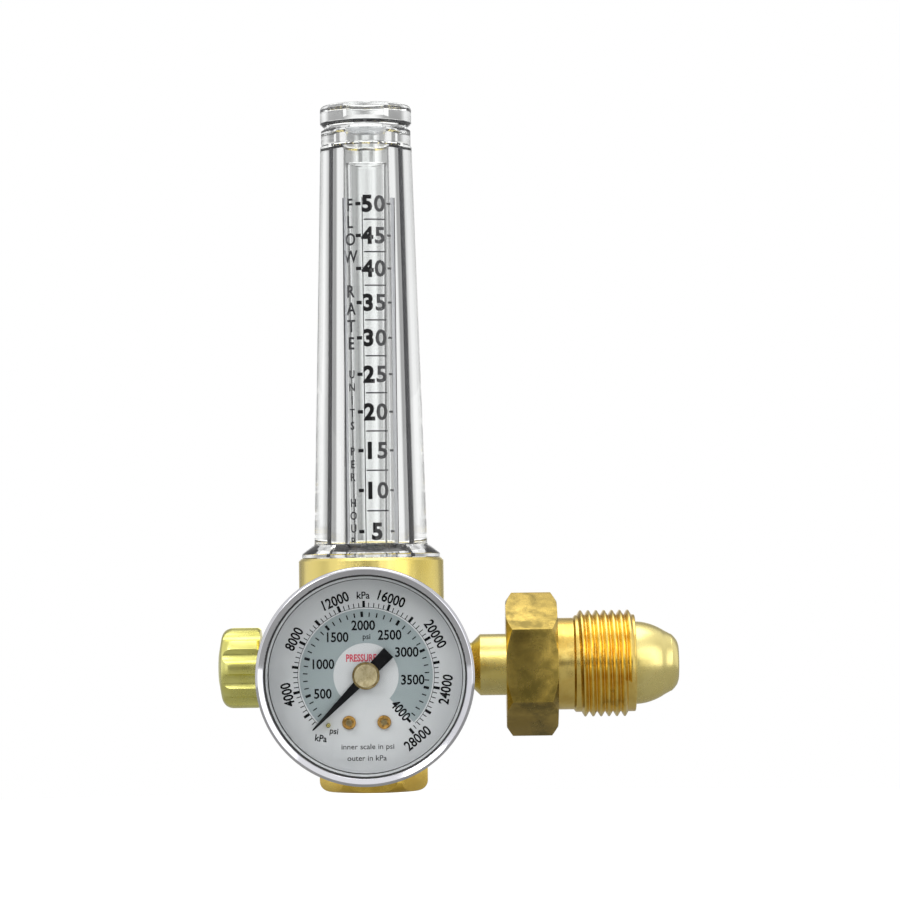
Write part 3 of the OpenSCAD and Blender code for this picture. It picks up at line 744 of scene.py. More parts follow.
@dataclass(frozen=True)
class Coating(Finish):
    """Paint, print, rubber or moulded plastic: a shade with grain and faint patches."""

    shade: Colour = (0.02, 0.02, 0.02)
    patch: Colour = (0.04, 0.04, 0.04)
    roughness: float = 0.5
    grain: float = 0.2
    grain_scale: float = 3000
    clear_coat: float = 0.0
    opacity: float = 1.0
    sheen: float = 0.5

    def build(self) -> bpy.types.Material:
        """Builds the material.

        Returns:
            The material.
        """
        made, w, shader, place = self.start()
        cloud = self.effect(w, Effect.BLOTCHES, Vector=place, Scale=90.0, Cover=0.5)
        tone = w.mix(w.maths("MULTIPLY", cloud, 0.6), self.shade, self.patch)
        w.feed(shader.inputs["Base Color"], tone)
        rough = self.effect(w, Effect.HANDLING, Vector=place, Base=self.roughness,
                            Spread=0.15)
        w.feed(shader.inputs["Roughness"], rough)
        speck = w.node("TexNoise", Vector=place, Scale=float(self.grain_scale), Detail=2.0)
        bump = w.node("Bump", Height=speck.outputs["Fac"], Strength=self.grain,
                      Distance=0.00005)
        w.feed(shader.inputs["Normal"], bump.outputs["Normal"])
        shader.inputs["Coat Weight"].default_value = self.clear_coat
        shader.inputs["Alpha"].default_value = self.opacity
        shader.inputs["Specular IOR Level"].default_value = self.sheen
        return made


class Palette:
    """Every finish of the regulator, built once and kept by name."""

    def __init__(self) -> None:
        """Builds the finishes."""
        lemon, gold = (0.85, 0.82, 0.28), (0.84, 0.69, 0.23)
        olive, umber = (0.30, 0.23, 0.06), (0.20, 0.12, 0.03)
        finishes = [
            # The barrel is painted near-black as shade inside the socket under the clear cover's
            # foot.
            Metal("barrel_brass", light=gold, deep=(0.76, 0.60, 0.15), stain=olive, stained=0.12,
                  stain_scale=45, roughness=0.26, spread=0.18, way=Way.TUBE, rings=7000,
                  groove=0.22, dark_within=0.0126),
            Metal("outlet_brass", light=(0.84, 0.60, 0.12), deep=(0.72, 0.46, 0.07), stain=umber,
                  stained=0.25, stain_scale=60, roughness=0.24, spread=0.2, way=Way.TUBE,
                  rings=7000, groove=0.15),
            Metal("nut_brass", light=(0.60, 0.43, 0.10), deep=(0.36, 0.25, 0.05),
                  stain=(0.17, 0.13, 0.03), stained=0.5, stain_scale=90, roughness=0.2,
                  spread=0.2, way=Way.INLET, rings=9000, groove=0.1, dents=0.9),
            Metal("thread_brass", light=(0.92, 0.70, 0.21), deep=(0.74, 0.48, 0.10), stain=umber,
                  stained=0.35, stain_scale=110, roughness=0.22, spread=0.2, way=Way.INLET,
                  rings=12000, groove=0.15),
            Metal("screw_brass", light=(0.58, 0.34, 0.09), deep=(0.42, 0.22, 0.05), stain=umber,
                  stained=0.5, stain_scale=700, roughness=0.34, spread=0.2, way=Way.GAUGE,
                  rings=12000, groove=0.15, dents=0.5),
            # Painted shade: a dark brass for the shade in the dial screws' slots and round the
            # pointer's hub.
            Metal("painted_shade_brass", light=(0.34, 0.28, 0.14), deep=(0.2, 0.15, 0.07), stain=umber,
                  stained=0.5, stain_scale=700, roughness=0.4, spread=0.2, way=Way.GAUGE,
                  rings=12000, groove=0.15, dents=0.5),
            Metal("nipple_brass", light=(0.88, 0.75, 0.30), deep=(0.80, 0.64, 0.19), stain=olive,
                  stained=0.2, stain_scale=80, roughness=0.27, spread=0.16, way=Way.INLET,
                  rings=11000, groove=0.12),
            Metal("knob_brass", light=lemon, deep=(0.76, 0.70, 0.18), stain=olive, stained=0.12,
                  stain_scale=70, roughness=0.28, spread=0.16, way=Way.VALVE, rings=9000,
                  groove=0.15, dents=0.15),
            Metal("valve_brass", light=gold, deep=(0.70, 0.54, 0.18), stain=olive, stained=0.15,
                  stain_scale=70, roughness=0.25, spread=0.18, way=Way.VALVE, rings=9000,
                  groove=0.15),
            Metal("gauge_brass", light=lemon, deep=(0.68, 0.54, 0.20), stain=umber, stained=0.2,
                  stain_scale=120, roughness=0.22, spread=0.16, way=Way.GAUGE, rings=14000,
                  groove=0.2),
            Metal("hub_brass", light=(0.62, 0.54, 0.33), deep=(0.42, 0.34, 0.18), stain=umber,
                  stained=0.35, stain_scale=900, roughness=0.36, spread=0.2, way=Way.GAUGE,
                  rings=14000, groove=0.2, dents=0.4),
            Metal("bonnet_brass", light=gold, deep=(0.64, 0.46, 0.14), stain=umber, stained=0.3,
                  stain_scale=50, roughness=0.3, spread=0.2, way=Way.BONNET, rings=8000,
                  groove=0.25),
            Metal("sintered_bronze", light=(0.55, 0.36, 0.2), deep=(0.4, 0.26, 0.14), stain=umber,
                  stained=0.4, stain_scale=400, roughness=0.5, spread=0.1, way=Way.INLET,
                  rings=3000, groove=0.1, dents=1.0),
            Metal("plain_steel", light=(0.62, 0.63, 0.65), deep=(0.48, 0.49, 0.51),
                  stain=(0.25, 0.24, 0.23), stained=0.2, stain_scale=120, roughness=0.28,
                  spread=0.2, way=Way.BONNET, rings=9000, groove=0.15),
            Metal("chrome", light=(0.70, 0.70, 0.74), deep=(0.62, 0.62, 0.66),
                  stain=(0.42, 0.42, 0.45), stained=0.1, stain_scale=60, roughness=0.09,
                  spread=0.06, way=Way.GAUGE, rings=5000, groove=0.02),
            Metal("case_steel", light=(0.66, 0.66, 0.68), deep=(0.55, 0.55, 0.58),
                  stain=(0.35, 0.35, 0.36), stained=0.15, stain_scale=50, roughness=0.24,
                  spread=0.16, way=Way.GAUGE, rings=9000, groove=0.12),
            ClearPlastic("clear_cover"),
            ClearPlastic("clear_cap", bends=1.55),
            ClearPlastic("clear_tube", bends=1.49, tint=(0.97, 0.975, 0.975)),
            ClearPlastic("clear_lens", bends=1.49, tint=(0.985, 0.99, 0.99), roughness=0.006),
            Coating("black_rubber", shade=(0.02, 0.02, 0.02), patch=(0.035, 0.034, 0.033),
                    roughness=0.62, grain=0.4),
            Coating("clear_silicone", shade=(0.62, 0.63, 0.65), patch=(0.7, 0.71, 0.72),
                    roughness=0.35, grain=0.1, opacity=0.4),
            Coating("black_plastic", shade=(0.025, 0.025, 0.026), patch=(0.04, 0.04, 0.04),
                    roughness=0.42, grain=0.3),
            Coating("ball_black", shade=(0.015, 0.015, 0.016), patch=(0.03, 0.03, 0.03),
                    roughness=0.16, grain=0.05),
            Coating("dial_paint", shade=(0.66, 0.68, 0.69), patch=(0.62, 0.645, 0.66),
                    roughness=0.5, grain=0.12),
            Coating("band_print", shade=(0.33, 0.39, 0.40), patch=(0.30, 0.36, 0.37),
                    roughness=0.5, grain=0.1),
            Coating("black_print", shade=(0.004, 0.004, 0.005), patch=(0.015, 0.015, 0.017),
                    roughness=0.6, grain=0.1, sheen=0.05),
            Coating("red_print", shade=(0.62, 0.05, 0.09), patch=(0.5, 0.07, 0.1), roughness=0.5,
                    grain=0.1),
            # Grey ink: print for the stripes, half lines and letters, and painted highlight where
            # it lightens the later digits and the right dashes.
            Coating("grey_print_and_painted_highlight", shade=(0.02, 0.021, 0.024), patch=(0.05, 0.05, 0.055),
                    roughness=0.6, grain=0.1, sheen=0.1),
            Coating("pale_print", shade=(0.50, 0.51, 0.54), patch=(0.58, 0.59, 0.62),
                    roughness=0.5, grain=0.1, opacity=0.45),
            # Painted shade: a dark, part see-through film for the dark lines and arcs that the
            # clear parts show.
            Coating("painted_shade_film", shade=(0.03, 0.03, 0.034), patch=(0.06, 0.06, 0.065),
                    roughness=0.6, grain=0.1, opacity=0.8, sheen=0.1),
            Coating("pointer_paint", shade=(0.004, 0.004, 0.005), patch=(0.01, 0.01, 0.01),
                    roughness=0.6, grain=0.1, sheen=0.1),
        ]
        self.made = {f.name: f.build() for f in finishes}

    def __getitem__(self, name: str) -> bpy.types.Material:
        """The material of a name."""
        return self.made[name]


# ---- flow tube ----
@dataclass
class FlowColumn:
    """The clear cover, its cap, the inner tube with its printed scale, and the ball."""

    palette: Palette
    bends: float = 1.58
    wall_rim: float = 0.3
    bore_foot: float = 6.58
    bore_top: float = 5.38
    neck: float = 10.4
    flange_rim: float = 1.2
    flange_rise: float = 3.2
    cone_foot: float = 13.1
    foot: float = 11.95
    cap_room: float = 4.8
    cap_neck: float = 4.2
    post: float = 1.95
    post_length: float = 4.3
    socket_flats: float = 6.2
    socket_depth: float = 2.6
    inner_throat: float = 1.6
    inner_foot: float = 3.26
    inner_top: float = 3.75
    gap: float = 0.04
    marks: Sequence[int] = tuple(range(5, 51, 5))
    edge_angle: float = 9
    print_gap: float = 0.03
    print_depth: float = 0.02

    def build(self) -> None:
        """Builds the column from its foot up."""
        self.cover_span = Span.of("tube_cover", Way.TUBE)
        self.cap_span = Span.of("tube_cap", Way.TUBE)
        self.flange_face = Span.of("barrel_body", Way.TUBE).end
        self.cover_top = self.cap_span.start + self.post_length
        self.cover()
        self.cap()
        self.inner_tube()
        self.rings()
        self.ball()
        self.scale()

    def cover(self) -> None:
        """The thick tapered cover, whose flange sits on the barrel."""
        z0, face, top = self.cover_span.start, self.flange_face + self.gap, self.cover_top
        rim = self.cover_span.radius
        outline = [
            (self.bore_foot, z0), (self.foot - 0.3, z0), (self.foot, z0 + 0.3),
            (self.foot, face), (rim - 0.15, face), (rim, face + 0.15),
            (rim, face + self.flange_rim - 0.25), (rim - 0.2, face + self.flange_rim),
            (self.cone_foot + 0.5, face + self.flange_rise - 0.35),
            *arc((self.cone_foot + 0.7, face + self.flange_rise + 0.35), 0.75, 235, 180, 4),
            (self.cap_span.radius + 0.02, top - self.wall_rim), (self.cap_span.radius - 0.28, top),
            (self.bore_top + 0.2, top), (self.bore_top, top - 0.2),
        ]
        Job("tube_cover_clear", Way.TUBE, "clear_plastic", self.palette["clear_cover"],
            ("tube_cover",)).done(Stock().turn(outline, 160))

    def cap(self) -> None:
        """The screwed cap, with its rim, its stop post and the socket for a key, and a dark film of
        painted shade under its rim.
        """
        top, low = self.cap_span.end, self.cover_top + self.gap
        neck_top = self.cover_top + self.cap_neck
        rim = self.cap_span.radius
        outline = [
            (0, self.cap_span.start), (self.post - 0.2, self.cap_span.start),
            (self.post, self.cap_span.start + 0.2), (self.post, neck_top),
            (self.cap_room, neck_top), (self.cap_room, low), (self.neck - 0.25, low),
            (self.neck, low + 0.25), (self.neck, neck_top - 0.75),
            (self.neck - 0.75, neck_top - 0.2), (self.neck - 0.75, neck_top + 0.1),
            (rim - 0.1, neck_top + 0.9), (rim, neck_top + 1.05),
            *arc((rim - 1.0, top - 1.0), 1.0, 0, 90, 6), (0, top),
        ]
        key = Stock().prism(6, self.socket_flats / 2 / math.cos(math.pi / 6),
                            top - self.socket_depth, top + 1)
        Job("tube_cap_clear", Way.TUBE, "clear_plastic", self.palette["clear_cap"],
            ("tube_cap",)).done(Stock().turn(outline, 128).cut(key))
        # Painted shade: a dark film inside the clear cap, under its rim, for the dark arc that the
        # rim shows there.
        low, high = (self.neck - 0.6, neck_top + 0.35), (rim - 0.15, neck_top + 1.0)
        line = Stock().turn([low, high, (high[0], high[1] + 0.05), (low[0], low[1] + 0.05)], 128)
        Job("cap_rim_painted_shade", Way.TUBE, "pointer_black", self.palette["painted_shade_film"]).done(line)

    def inner_tube(self) -> None:
        """The inner tube, whose bore widens upwards."""
        span = Span.of("flow_tube", Way.TUBE)
        rest = Span.of("float_ball", Way.TUBE).start + 0.6
        outline = [
            (self.inner_throat, span.start), (span.radius - 0.2, span.start),
            (span.radius, span.start + 0.2), (span.radius, span.end - 0.2),
            (span.radius - 0.2, span.end), (self.inner_top + 0.1, span.end),
            (self.inner_top, span.end - 0.1), (self.inner_foot, rest),
            (self.inner_throat, rest - 0.05),
        ]
        Job("flow_tube_clear", Way.TUBE, "clear_plastic", self.palette["clear_tube"],
            ("flow_tube",)).done(Stock().turn(outline, 96))

    def rings(self) -> None:
        """The rubber rings, each turned from a round section."""
        rings = {
            "cap_o_ring": ("silicone_clear", "clear_silicone"),
            "cover_o_ring": ("rubber_black", "black_rubber"),
            "tube_seal": ("rubber_black", "black_rubber"),
        }
        for node, (slot, finish) in rings.items():
            span = Span.of(node, Way.TUBE)
            thick = (span.end - span.start) / 2
            section = arc((span.radius - thick, span.start + thick), thick, 0, 345, 23)
            Job(node + "_ring", Way.TUBE, slot, self.palette[finish],
                (node,)).done(Stock().turn(section, 96))

    def ball(self) -> None:
        """The float."""
        span = Span.of("float_ball", Way.TUBE)
        middle = (span.start + span.end) / 2
        half = arc((0, middle), span.radius, -90, 90, 32)
        half = [(max(0.0, r), z) for r, z in half[1:-1]]
        ends = [(0.0, middle - span.radius), *half, (0.0, middle + span.radius)]
        Job("float_ball_black", Way.TUBE, "ball_black", self.palette["ball_black"],
            ("float_ball",), "float_ball").done(Stock().turn(ends, 64))

    def height_of(self, flow: float) -> float:
        """How high a flow's mark stands. The marks close up towards the top."""
        return self.flange_face - 3.8 + 1.959 * flow - 0.00513 * flow * flow

    def taper(self, foot: float, top: float, z: float) -> float:
        """The cover's radius at a height, from its radii at the foot and at the top."""
        up = (z - self.cover_span.start) / (self.cover_top - self.cover_span.start)
        return foot + (top - foot) * up

    def wrapped(self, spot: Vector) -> Vector:
        """Takes a point of the flat print onto the cover's bore.

        The flat print is drawn as the eye meets it, and the thick wall enlarges it.

        Args:
            spot: Across, up and depth of the ink.

        Returns:
            The point on the bore.
        """
        bore = self.taper(self.bore_foot, self.bore_top, spot.y) + self.print_gap
        outer = self.taper(self.cone_foot, self.cap_span.radius, spot.y)
        bent = [spot.x / reach for reach in (self.bends * bore, outer, self.bends * outer)]
        inner, before, after = (math.asin(max(-1, min(1, sine))) for sine in bent)
        angle = inner + before - after
        radius = bore + spot.z
        return Vector((radius * math.sin(angle), -radius * math.cos(angle), spot.y))

    def printed(self, name: str, stock: Stock, finish: str) -> None:
        """Gives flat print its thickness, wraps it and enters it.

        Args:
            name: The piece's name.
            stock: The flat print.
            finish: The ink's finish.
        """
        made = bmesh.ops.extrude_face_region(stock.bm, geom=stock.bm.faces[:])
        raised = [v for v in made["geom"] if isinstance(v, bmesh.types.BMVert)]
        bmesh.ops.translate(stock.bm, verts=raised, vec=(0, 0, self.print_depth))
        stock.reshape(self.wrapped)
        bmesh.ops.recalc_face_normals(stock.bm, faces=stock.bm.faces)
        Job(name, Way.TUBE, "pointer_black", self.palette[finish]).done(stock)

    def scale(self) -> None:
        """The printed scale: numbers, dashes, half lines, side stripes and letters, with painted
        shade at the bore's sides. The lighter grey ink on the later digits and the right dashes is
        painted highlight.
        """
        black, grey, pale = Stock(), Stock(), Stock()
        for flow in self.marks:
            z = self.height_of(flow)
            digits = str(flow)
            for k, digit in enumerate(digits):
                across = 0.25 + 2.85 * k if len(digits) > 1 else 1.7
                # Later digits go in the lighter grey ink: painted highlight for the bright band
                # across them.
                stock = black if k == 0 else grey
                stock.take(lettering(digit, 3.8, 0.045 if k == 0 else 0.026, 0.98),
                           Matrix.Translation((across, z, 0)))
            self.bar(black, -2.4, -1.2, z, 0.8)
            # The right dashes are grey for the same painted highlight.
            self.bar(grey, 4.75, 5.6, z, 0.5)
            halfway = self.height_of(flow - 2.5)
            if flow > self.marks[0]:
                self.bar(grey, -0.5, 4.35, halfway, 0.32)
        low, high = self.height_of(self.marks[0]) - 4, self.height_of(self.marks[-1]) + 1.5
        for left, right in ((-5.4, -5.1), (-0.95, -0.75), (6.4, 6.55)):
            self.strip(grey, left, right, low, high)
        self.strip(pale, -5.1, -4.6, low, high)
        self.strip(pale, 5.6, 6.4, low, high)
        self.column(grey, "FLOW RATE", high - 1.7, 4.0, 2.9)
        self.column(grey, "UNITS PER HOUR", self.height_of(25), 2.95, 1.9)
        self.edges()
        self.printed("scale_black_print", black, "black_print")
        self.printed("scale_grey_print_and_painted_highlight", grey, "grey_print_and_painted_highlight")
        self.printed("scale_pale_print", pale, "pale_print")

    def edges(self) -> None:
        """Painted shade: dark films at both sides of the cover's bore, for the dark lines that the
        clear wall shows there.
        """
        stock, film = Stock(), 0.03
        low, high = self.flange_face + self.gap, self.cover_top - 0.6
        for side in (0, 180):
            bm = bmesh.new()
            line = [(self.taper(self.bore_foot, self.bore_top, z) + self.print_gap, z)
                    for z in (low, (low + high) / 2, high)]
            outside = [(r + film, z) for r, z in reversed(line)]
            first = Matrix.Rotation(math.radians(side - self.edge_angle), 4, "Z")
            face = bm.faces.new([bm.verts.new(first @ Vector((r, 0, z)))
                                 for r, z in line + outside])
            bmesh.ops.spin(bm, geom=[face], cent=(0, 0, 0), axis=(0, 0, 1), steps=8,
                           angle=math.radians(2 * self.edge_angle))
            bmesh.ops.recalc_face_normals(bm, faces=bm.faces)
            stock.take(bm)
        Job("scale_edge_painted_shade", Way.TUBE, "pointer_black", self.palette["painted_shade_film"]).done(stock)

    @staticmethod
    def bar(stock: Stock, left: float, right: float, z: float, tall: float) -> None:
        """Adds a level bar of the flat print."""
        FlowColumn.strip(stock, left, right, z - tall / 2, z + tall / 2)

    @staticmethod
    def strip(stock: Stock, left: float, right: float, low: float, high: float) -> None:
        """Adds an upright strip of the flat print, cut so that it can bend and taper.

        Args:
            stock: The flat print that takes it.
            left: Its left edge.
            right: Its right edge.
            low: Its lower end.
            high: Its upper end.
        """
        bm = bmesh.new()
        across = max(1, round((right - left) / 0.5))
        up = max(1, round((high - low) / 4))
        place = Matrix.Translation(((left + right) / 2, (low + high) / 2, 0)) @ Matrix.Diagonal(
            ((right - left) / 2, (high - low) / 2, 1, 1)
        )
        bmesh.ops.create_grid(bm, x_segments=across, y_segments=up, size=1, matrix=place)
        stock.take(bm)

    @staticmethod
    def column(stock: Stock, words: str, top: float, step: float, height: float) -> None:
        """Sets letters one under another down the left of the scale.

        Args:
            stock: The flat print that takes them.
            words: The letters, with a space where one is left out.
            top: The height of the first letter.
            step: How far each stands below the one before.
            height: The height of a letter.
        """
        for k, letter in enumerate(words):
            if letter != " ":
                stock.take(lettering(letter, height, 0.018, 0.75),
                           Matrix.Translation((-3.65, top - step * k, 0)))


# ---- gauge ----
@dataclass
class PressureGauge:
    """The gauge: case, chrome bezel, lens, printed dial, pointer and its hub."""

    palette: Palette
    sight: float = 21.3
    full_scale: int = 28000
    lead: float = 8.7
    degrees_per_kpa: float = 0.010175
    psi_in_kpa: float = 6.895
    zero: float = 225
    sweep: float = 270
    ink: float = 0.012
    band_inner: float = 7.05
    band_outer: float = 14.45

    def build(self) -> None:
        """Builds the gauge from its back to its lens."""
        self.dial_span = Span.of("gauge_dial", Way.GAUGE)
        self.face = self.dial_span.end
        self.case()
        self.bezel()
        self.lens()
        self.dial()
        self.dial_print()
        self.screws()
        self.pointer()
        self.hub()

    def case(self) -> None:
        """The pressed cup, with rolled corners."""
        span = Span.of("gauge_case", Way.GAUGE)
        wall, r, bore = 1.2, span.radius, 6.1
        outline = [
            (bore, span.start), *arc((r - 2.2, span.start + 2.2), 2.2, -90, 0, 8),
            (r, span.end), (r - wall, span.end),
            *arc((r - 2.2, span.start + 2.2), 1.0, 0, -90, 6), (bore, span.start + wall),
        ]
        vent = Stock().turn([(0, span.start - 1), (2.5, span.start - 1), (2.5, span.start + 2),
                             (0, span.start + 2)], 48)
        moved = Matrix.Translation((0, 15.5, 0))
        hole = Stock().take(vent.bm, moved)
        Job("gauge_case_cup", Way.GAUGE, "chrome_plate", self.palette["case_steel"],
            ("gauge_case",)).done(Stock().turn(outline, 160).cut(hole))

    def bezel(self) -> None:
        """The chromed ring, rolled over the lens with a bead and a step inside."""
        span = Span.of("bezel_ring", Way.GAUGE)
        r, case = span.radius, Span.of("gauge_case", Way.GAUGE)
        inner = case.radius + 0.05
        outline = [
            (inner, span.start), (r - 0.5, span.start),
            *arc((r - 0.5, span.start + 0.45), 0.45, -90, 0, 4),
            (r - 0.12, span.start + 1.3), (r - 0.12, span.end - 2.1),
            *arc((r - 1.15, span.end - 1.15), 1.15, 10, 64, 9),
            *arc((self.sight + 0.85, span.end - 1.0), 0.32, 116, 180, 4),
            (self.sight + 0.5, case.end + 0.05),
            (inner, case.end + 0.05),
        ]
        Job("bezel_ring_chrome", Way.GAUGE, "chrome_plate", self.palette["chrome"],
            ("bezel_ring",)).done(Stock().turn(outline, 192))

    def lens(self) -> None:
        """The flat lens with eased edges, and the black ring under it."""
        span = Span.of("gauge_lens", Way.GAUGE)
        ease = 0.12
        outline = [(0, span.start), (span.radius - ease, span.start),
                   (span.radius, span.start + ease), (span.radius, span.end - ease),
                   (span.radius - ease, span.end), (0, span.end)]
        Job("gauge_lens_clear", Way.GAUGE, "clear_plastic", self.palette["clear_lens"],
            ("gauge_lens",)).done(Stock().turn(outline, 128))
        seat = Span.of("lens_gasket", Way.GAUGE)
        inner, outer = self.sight - 0.45, self.sight - 0.3
        lips = Stock().turn([(inner, seat.start), (outer, seat.start), (outer, seat.end - 0.05),
                             (outer - 0.05, seat.end), (inner + 0.05, seat.end),
                             (inner, seat.end - 0.05)], 128)
        Job("lens_gasket_rubber", Way.GAUGE, "rubber_black", self.palette["black_rubber"],
            ("lens_gasket",)).done(lips.turn([
                (self.sight + 0.16, span.end + 0.02), (self.sight + 0.5, span.end + 0.02),
                (self.sight + 0.5, span.end + 0.3), (self.sight + 0.2, span.end + 0.24)], 160))
        ledge = Stock().turn([
            (outer + 0.02, seat.start + 0.1), (self.sight + 0.2, seat.start + 0.1),
            (self.sight + 0.2, seat.end - 0.05), (outer + 0.02, seat.end - 0.1)], 128)
        Job("dial_edge_ring", Way.GAUGE, "dial_white", self.palette["dial_paint"]).done(ledge)

    def dial(self) -> None:
        """The painted plate, drilled for the shaft."""
        r, low, face = self.dial_span.radius, self.dial_span.start, self.face
        outline = [(1.2, low), (r - 0.1, low), (r, low + 0.1), (r, face - 0.08),
                   (r - 0.08, face), (1.2, face)]
        Job("gauge_dial_plate", Way.GAUGE, "dial_white", self.palette["dial_paint"],
            ("gauge_dial",)).done(Stock().turn(outline, 128))

    def angle_of(self, value: float) -> float:
        """Where a value in kilopascals stands on the dial, in degrees from +X."""
        return self.zero + self.lead - self.degrees_per_kpa * value

    def sector(self, inner: float, outer: float, start: float, end: float) -> bmesh.types.BMesh:
        """A flat piece of a ring between two radii and two angles in degrees.

        Args:
            inner: The inner radius.
            outer: The outer radius.
            start: Where it starts.
            end: Where it ends.

        Returns:
            The flat piece.
        """
        bm = bmesh.new()
        turned = Matrix.Rotation(math.radians(start), 4, "Z")
        ends = [bm.verts.new(turned @ Vector((r, 0, 0))) for r in (inner, outer)]
        edge = bm.edges.new(ends)
        bmesh.ops.spin(bm, geom=[*ends, edge], cent=(0, 0, 0), axis=(0, 0, 1),
                       angle=math.radians(end - start),
                       steps=max(2, round(abs(end - start) / 2.5)))
        return bm

    def tick(self, stock: Stock, angle: float, inner: float, outer: float, wide: float) -> None:
        """Adds one tick across the scale.

        Args:
            stock: The flat print that takes it.
            angle: Where it stands, in degrees from +X.
            inner: The radius where it starts.
            outer: The radius where it ends.
            wide: How wide it is.
        """
        bm = bmesh.new()
        place = Matrix.Rotation(math.radians(angle), 4, "Z") @ Matrix.Translation(
            ((inner + outer) / 2, 0, 0)
        )
        bmesh.ops.create_grid(bm, x_segments=1, y_segments=1, size=1,
                              matrix=place @ Matrix.Diagonal(((outer - inner) / 2, wide / 2, 1, 1)))
        stock.take(bm)

    def words(self, stock: Stock, text: str, spot: Point, height: float, turned: float = 0,
              weight: float = 0.012, narrow: float = 0.72) -> None:
        """Adds words centred on a spot.

        Args:
            stock: The flat print that takes them.
            text: The words.
            spot: Their middle.
            height: The height of a letter.
            turned: Their turn in degrees.
            weight: How much the strokes are thickened.
            narrow: Their width as a share of the letters' own.
        """
        place = Matrix.Translation((*spot, 0)) @ Matrix.Rotation(math.radians(turned), 4, "Z")
        stock.take(lettering(text, height, weight, narrow), place)

    def printed(self, name: str, stock: Stock, finish: str, level: int, slot: str) -> None:
        """Gives flat print its thickness above the dial and enters it.

        Args:
            name: The piece's name.
            stock: The flat print.
            finish: The ink's finish.
            level: How many layers of ink it rises to.
            slot: The material slot.
        """
        for f in stock.bm.faces:
            if f.normal.z < 0:
                f.normal_flip()
        made = bmesh.ops.extrude_face_region(stock.bm, geom=stock.bm.faces[:])
        raised = [v for v in made["geom"] if isinstance(v, bmesh.types.BMVert)]
        bmesh.ops.translate(stock.bm, verts=raised, vec=(0, 0, self.ink * level))
        bmesh.ops.translate(stock.bm, verts=stock.bm.verts, vec=(0, 0, self.face))
        bmesh.ops.recalc_face_normals(stock.bm, faces=stock.bm.faces)
        Job(name, Way.GAUGE, slot, self.palette[finish]).done(stock)

    def dial_print(self) -> None:
        """The band, both scales, their numbers and the small words."""
        band, white = Stock(), Stock()
        last = self.zero - self.sweep
        band.take(self.sector(self.band_inner, self.band_outer, last, self.zero))
        white.take(self.sector(self.band_outer, self.band_outer + 0.17, last, self.zero))
        self.printed("dial_band_print", band, "band_print", 1, "dial_white")
        self.printed("dial_white_line", white, "dial_paint", 1, "dial_white")
        ink = Stock()
        self.kilopascal_scale(ink)
        self.psi_scale(ink)
        self.words(ink, "inner scale in psi", (0.2, -15.5), 1.2, 0, 0.006, 1.05)
        self.words(ink, "outer in kPa", (0, -17.8), 1.2, 0, 0.006, 1.05)
        self.printed("dial_black_print", ink, "black_print", 2, "pointer_black")
        red = Stock()
        self.words(red, "PRESSURE", (-1.0, 3.85), 1.6, 0, 0.03, 0.7)
        self.printed("dial_red_print", red, "red_print", 2, "pointer_black")

    def kilopascal_scale(self, ink: Stock) -> None:
        """The outer scale, with a tick at every 400 and a bold one at every 2000.

        Args:
            ink: The flat print that takes it.
        """
        ink.take(self.sector(self.band_outer + 0.3, self.band_outer + 0.4,
                             self.zero - self.sweep, self.zero))
        for k in range(3, 71):
            bold = k % 5 == 0
            angle = self.angle_of(400 * k)
            self.tick(ink, angle, 14.8, 16.2 if bold else 15.8, 0.6 if bold else 0.2)
        for value in range(4000, self.full_scale + 1, 4000):
            angle = self.angle_of(value)
            spot = (17.5 * math.cos(math.radians(angle)), 17.5 * math.sin(math.radians(angle)))
            turned = angle - 90 if value < 24000 else angle + 90
            self.words(ink, str(value), spot, 2.25, turned, 0.024, 0.84)
        self.words(ink, "kPa", (-0.4, 17.4), 1.6, 0, 0.015, 0.95)
        self.words(ink, "kPa", (-9.9, -13.4), 1.5, -8, 0.02, 0.9)

    def psi_scale(self, ink: Stock) -> None:
        """The inner scale, with a tick at every 100 and a bold one at every 500.

        Args:
            ink: The flat print that takes it.
        """
        for k in range(2, 41):
            bold = k % 5 == 0
            angle = self.angle_of(100 * k * self.psi_in_kpa)
            self.tick(ink, angle, 12.7, 13.9 if bold else 13.7, 0.58 if bold else 0.26)
        places = {500: (-9.4, -3.8), 1000: (-9.2, 2.6), 1500: (-6.05, 8.4), 2000: (-0.5, 10.9),
                  2500: (5.2, 8.75), 3000: (8.9, 5.0), 3500: (10.1, -1.0)}
        for value, spot in places.items():
            self.words(ink, str(value), spot, 2.15, 0, 0.022, 0.88)
        self.words(ink, "4000", (7.4, -7.6), 2.15, -50, 0.024, 0.8)
        self.words(ink, "psi", (0.2, 8.25), 1.25, 0, 0.01, 0.95)
        self.words(ink, "psi", (-7.1, -12.1), 1.35, -8, 0.015, 0.95)

    def screws(self) -> None:
        """The two slotted screws, each with a dark disc of painted shade, and the stop pin that
        stand on the dial.
        """
        low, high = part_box("dial_screws")
        top = -low.y / MM
        head = 1.5
        spots = [(s * 3.8, (low.z + high.z) / 2 / MM - Way.GAUGE.height / MM) for s in (-1, 1)]
        made, shade_discs = Stock(), Stock()
        for k, (x, y) in enumerate(spots):
            outline = [(0, self.face - 1), (0.8, self.face - 1), (0.8, self.face + 0.02),
                       (head, self.face + 0.02), (head, top - 0.35),
                       *arc((head - 0.35, top - 0.35), 0.35, 0, 90, 4), (0, top)]
            one = Stock().turn(outline, 48)
            for turned in (20 + 50 * k, 110 + 50 * k):
                one.cut(Stock().block((2.2, 0.5, 1.0), (0, 0, top), turned))
            made.take(one.bm, Matrix.Translation((x, y, 0)))
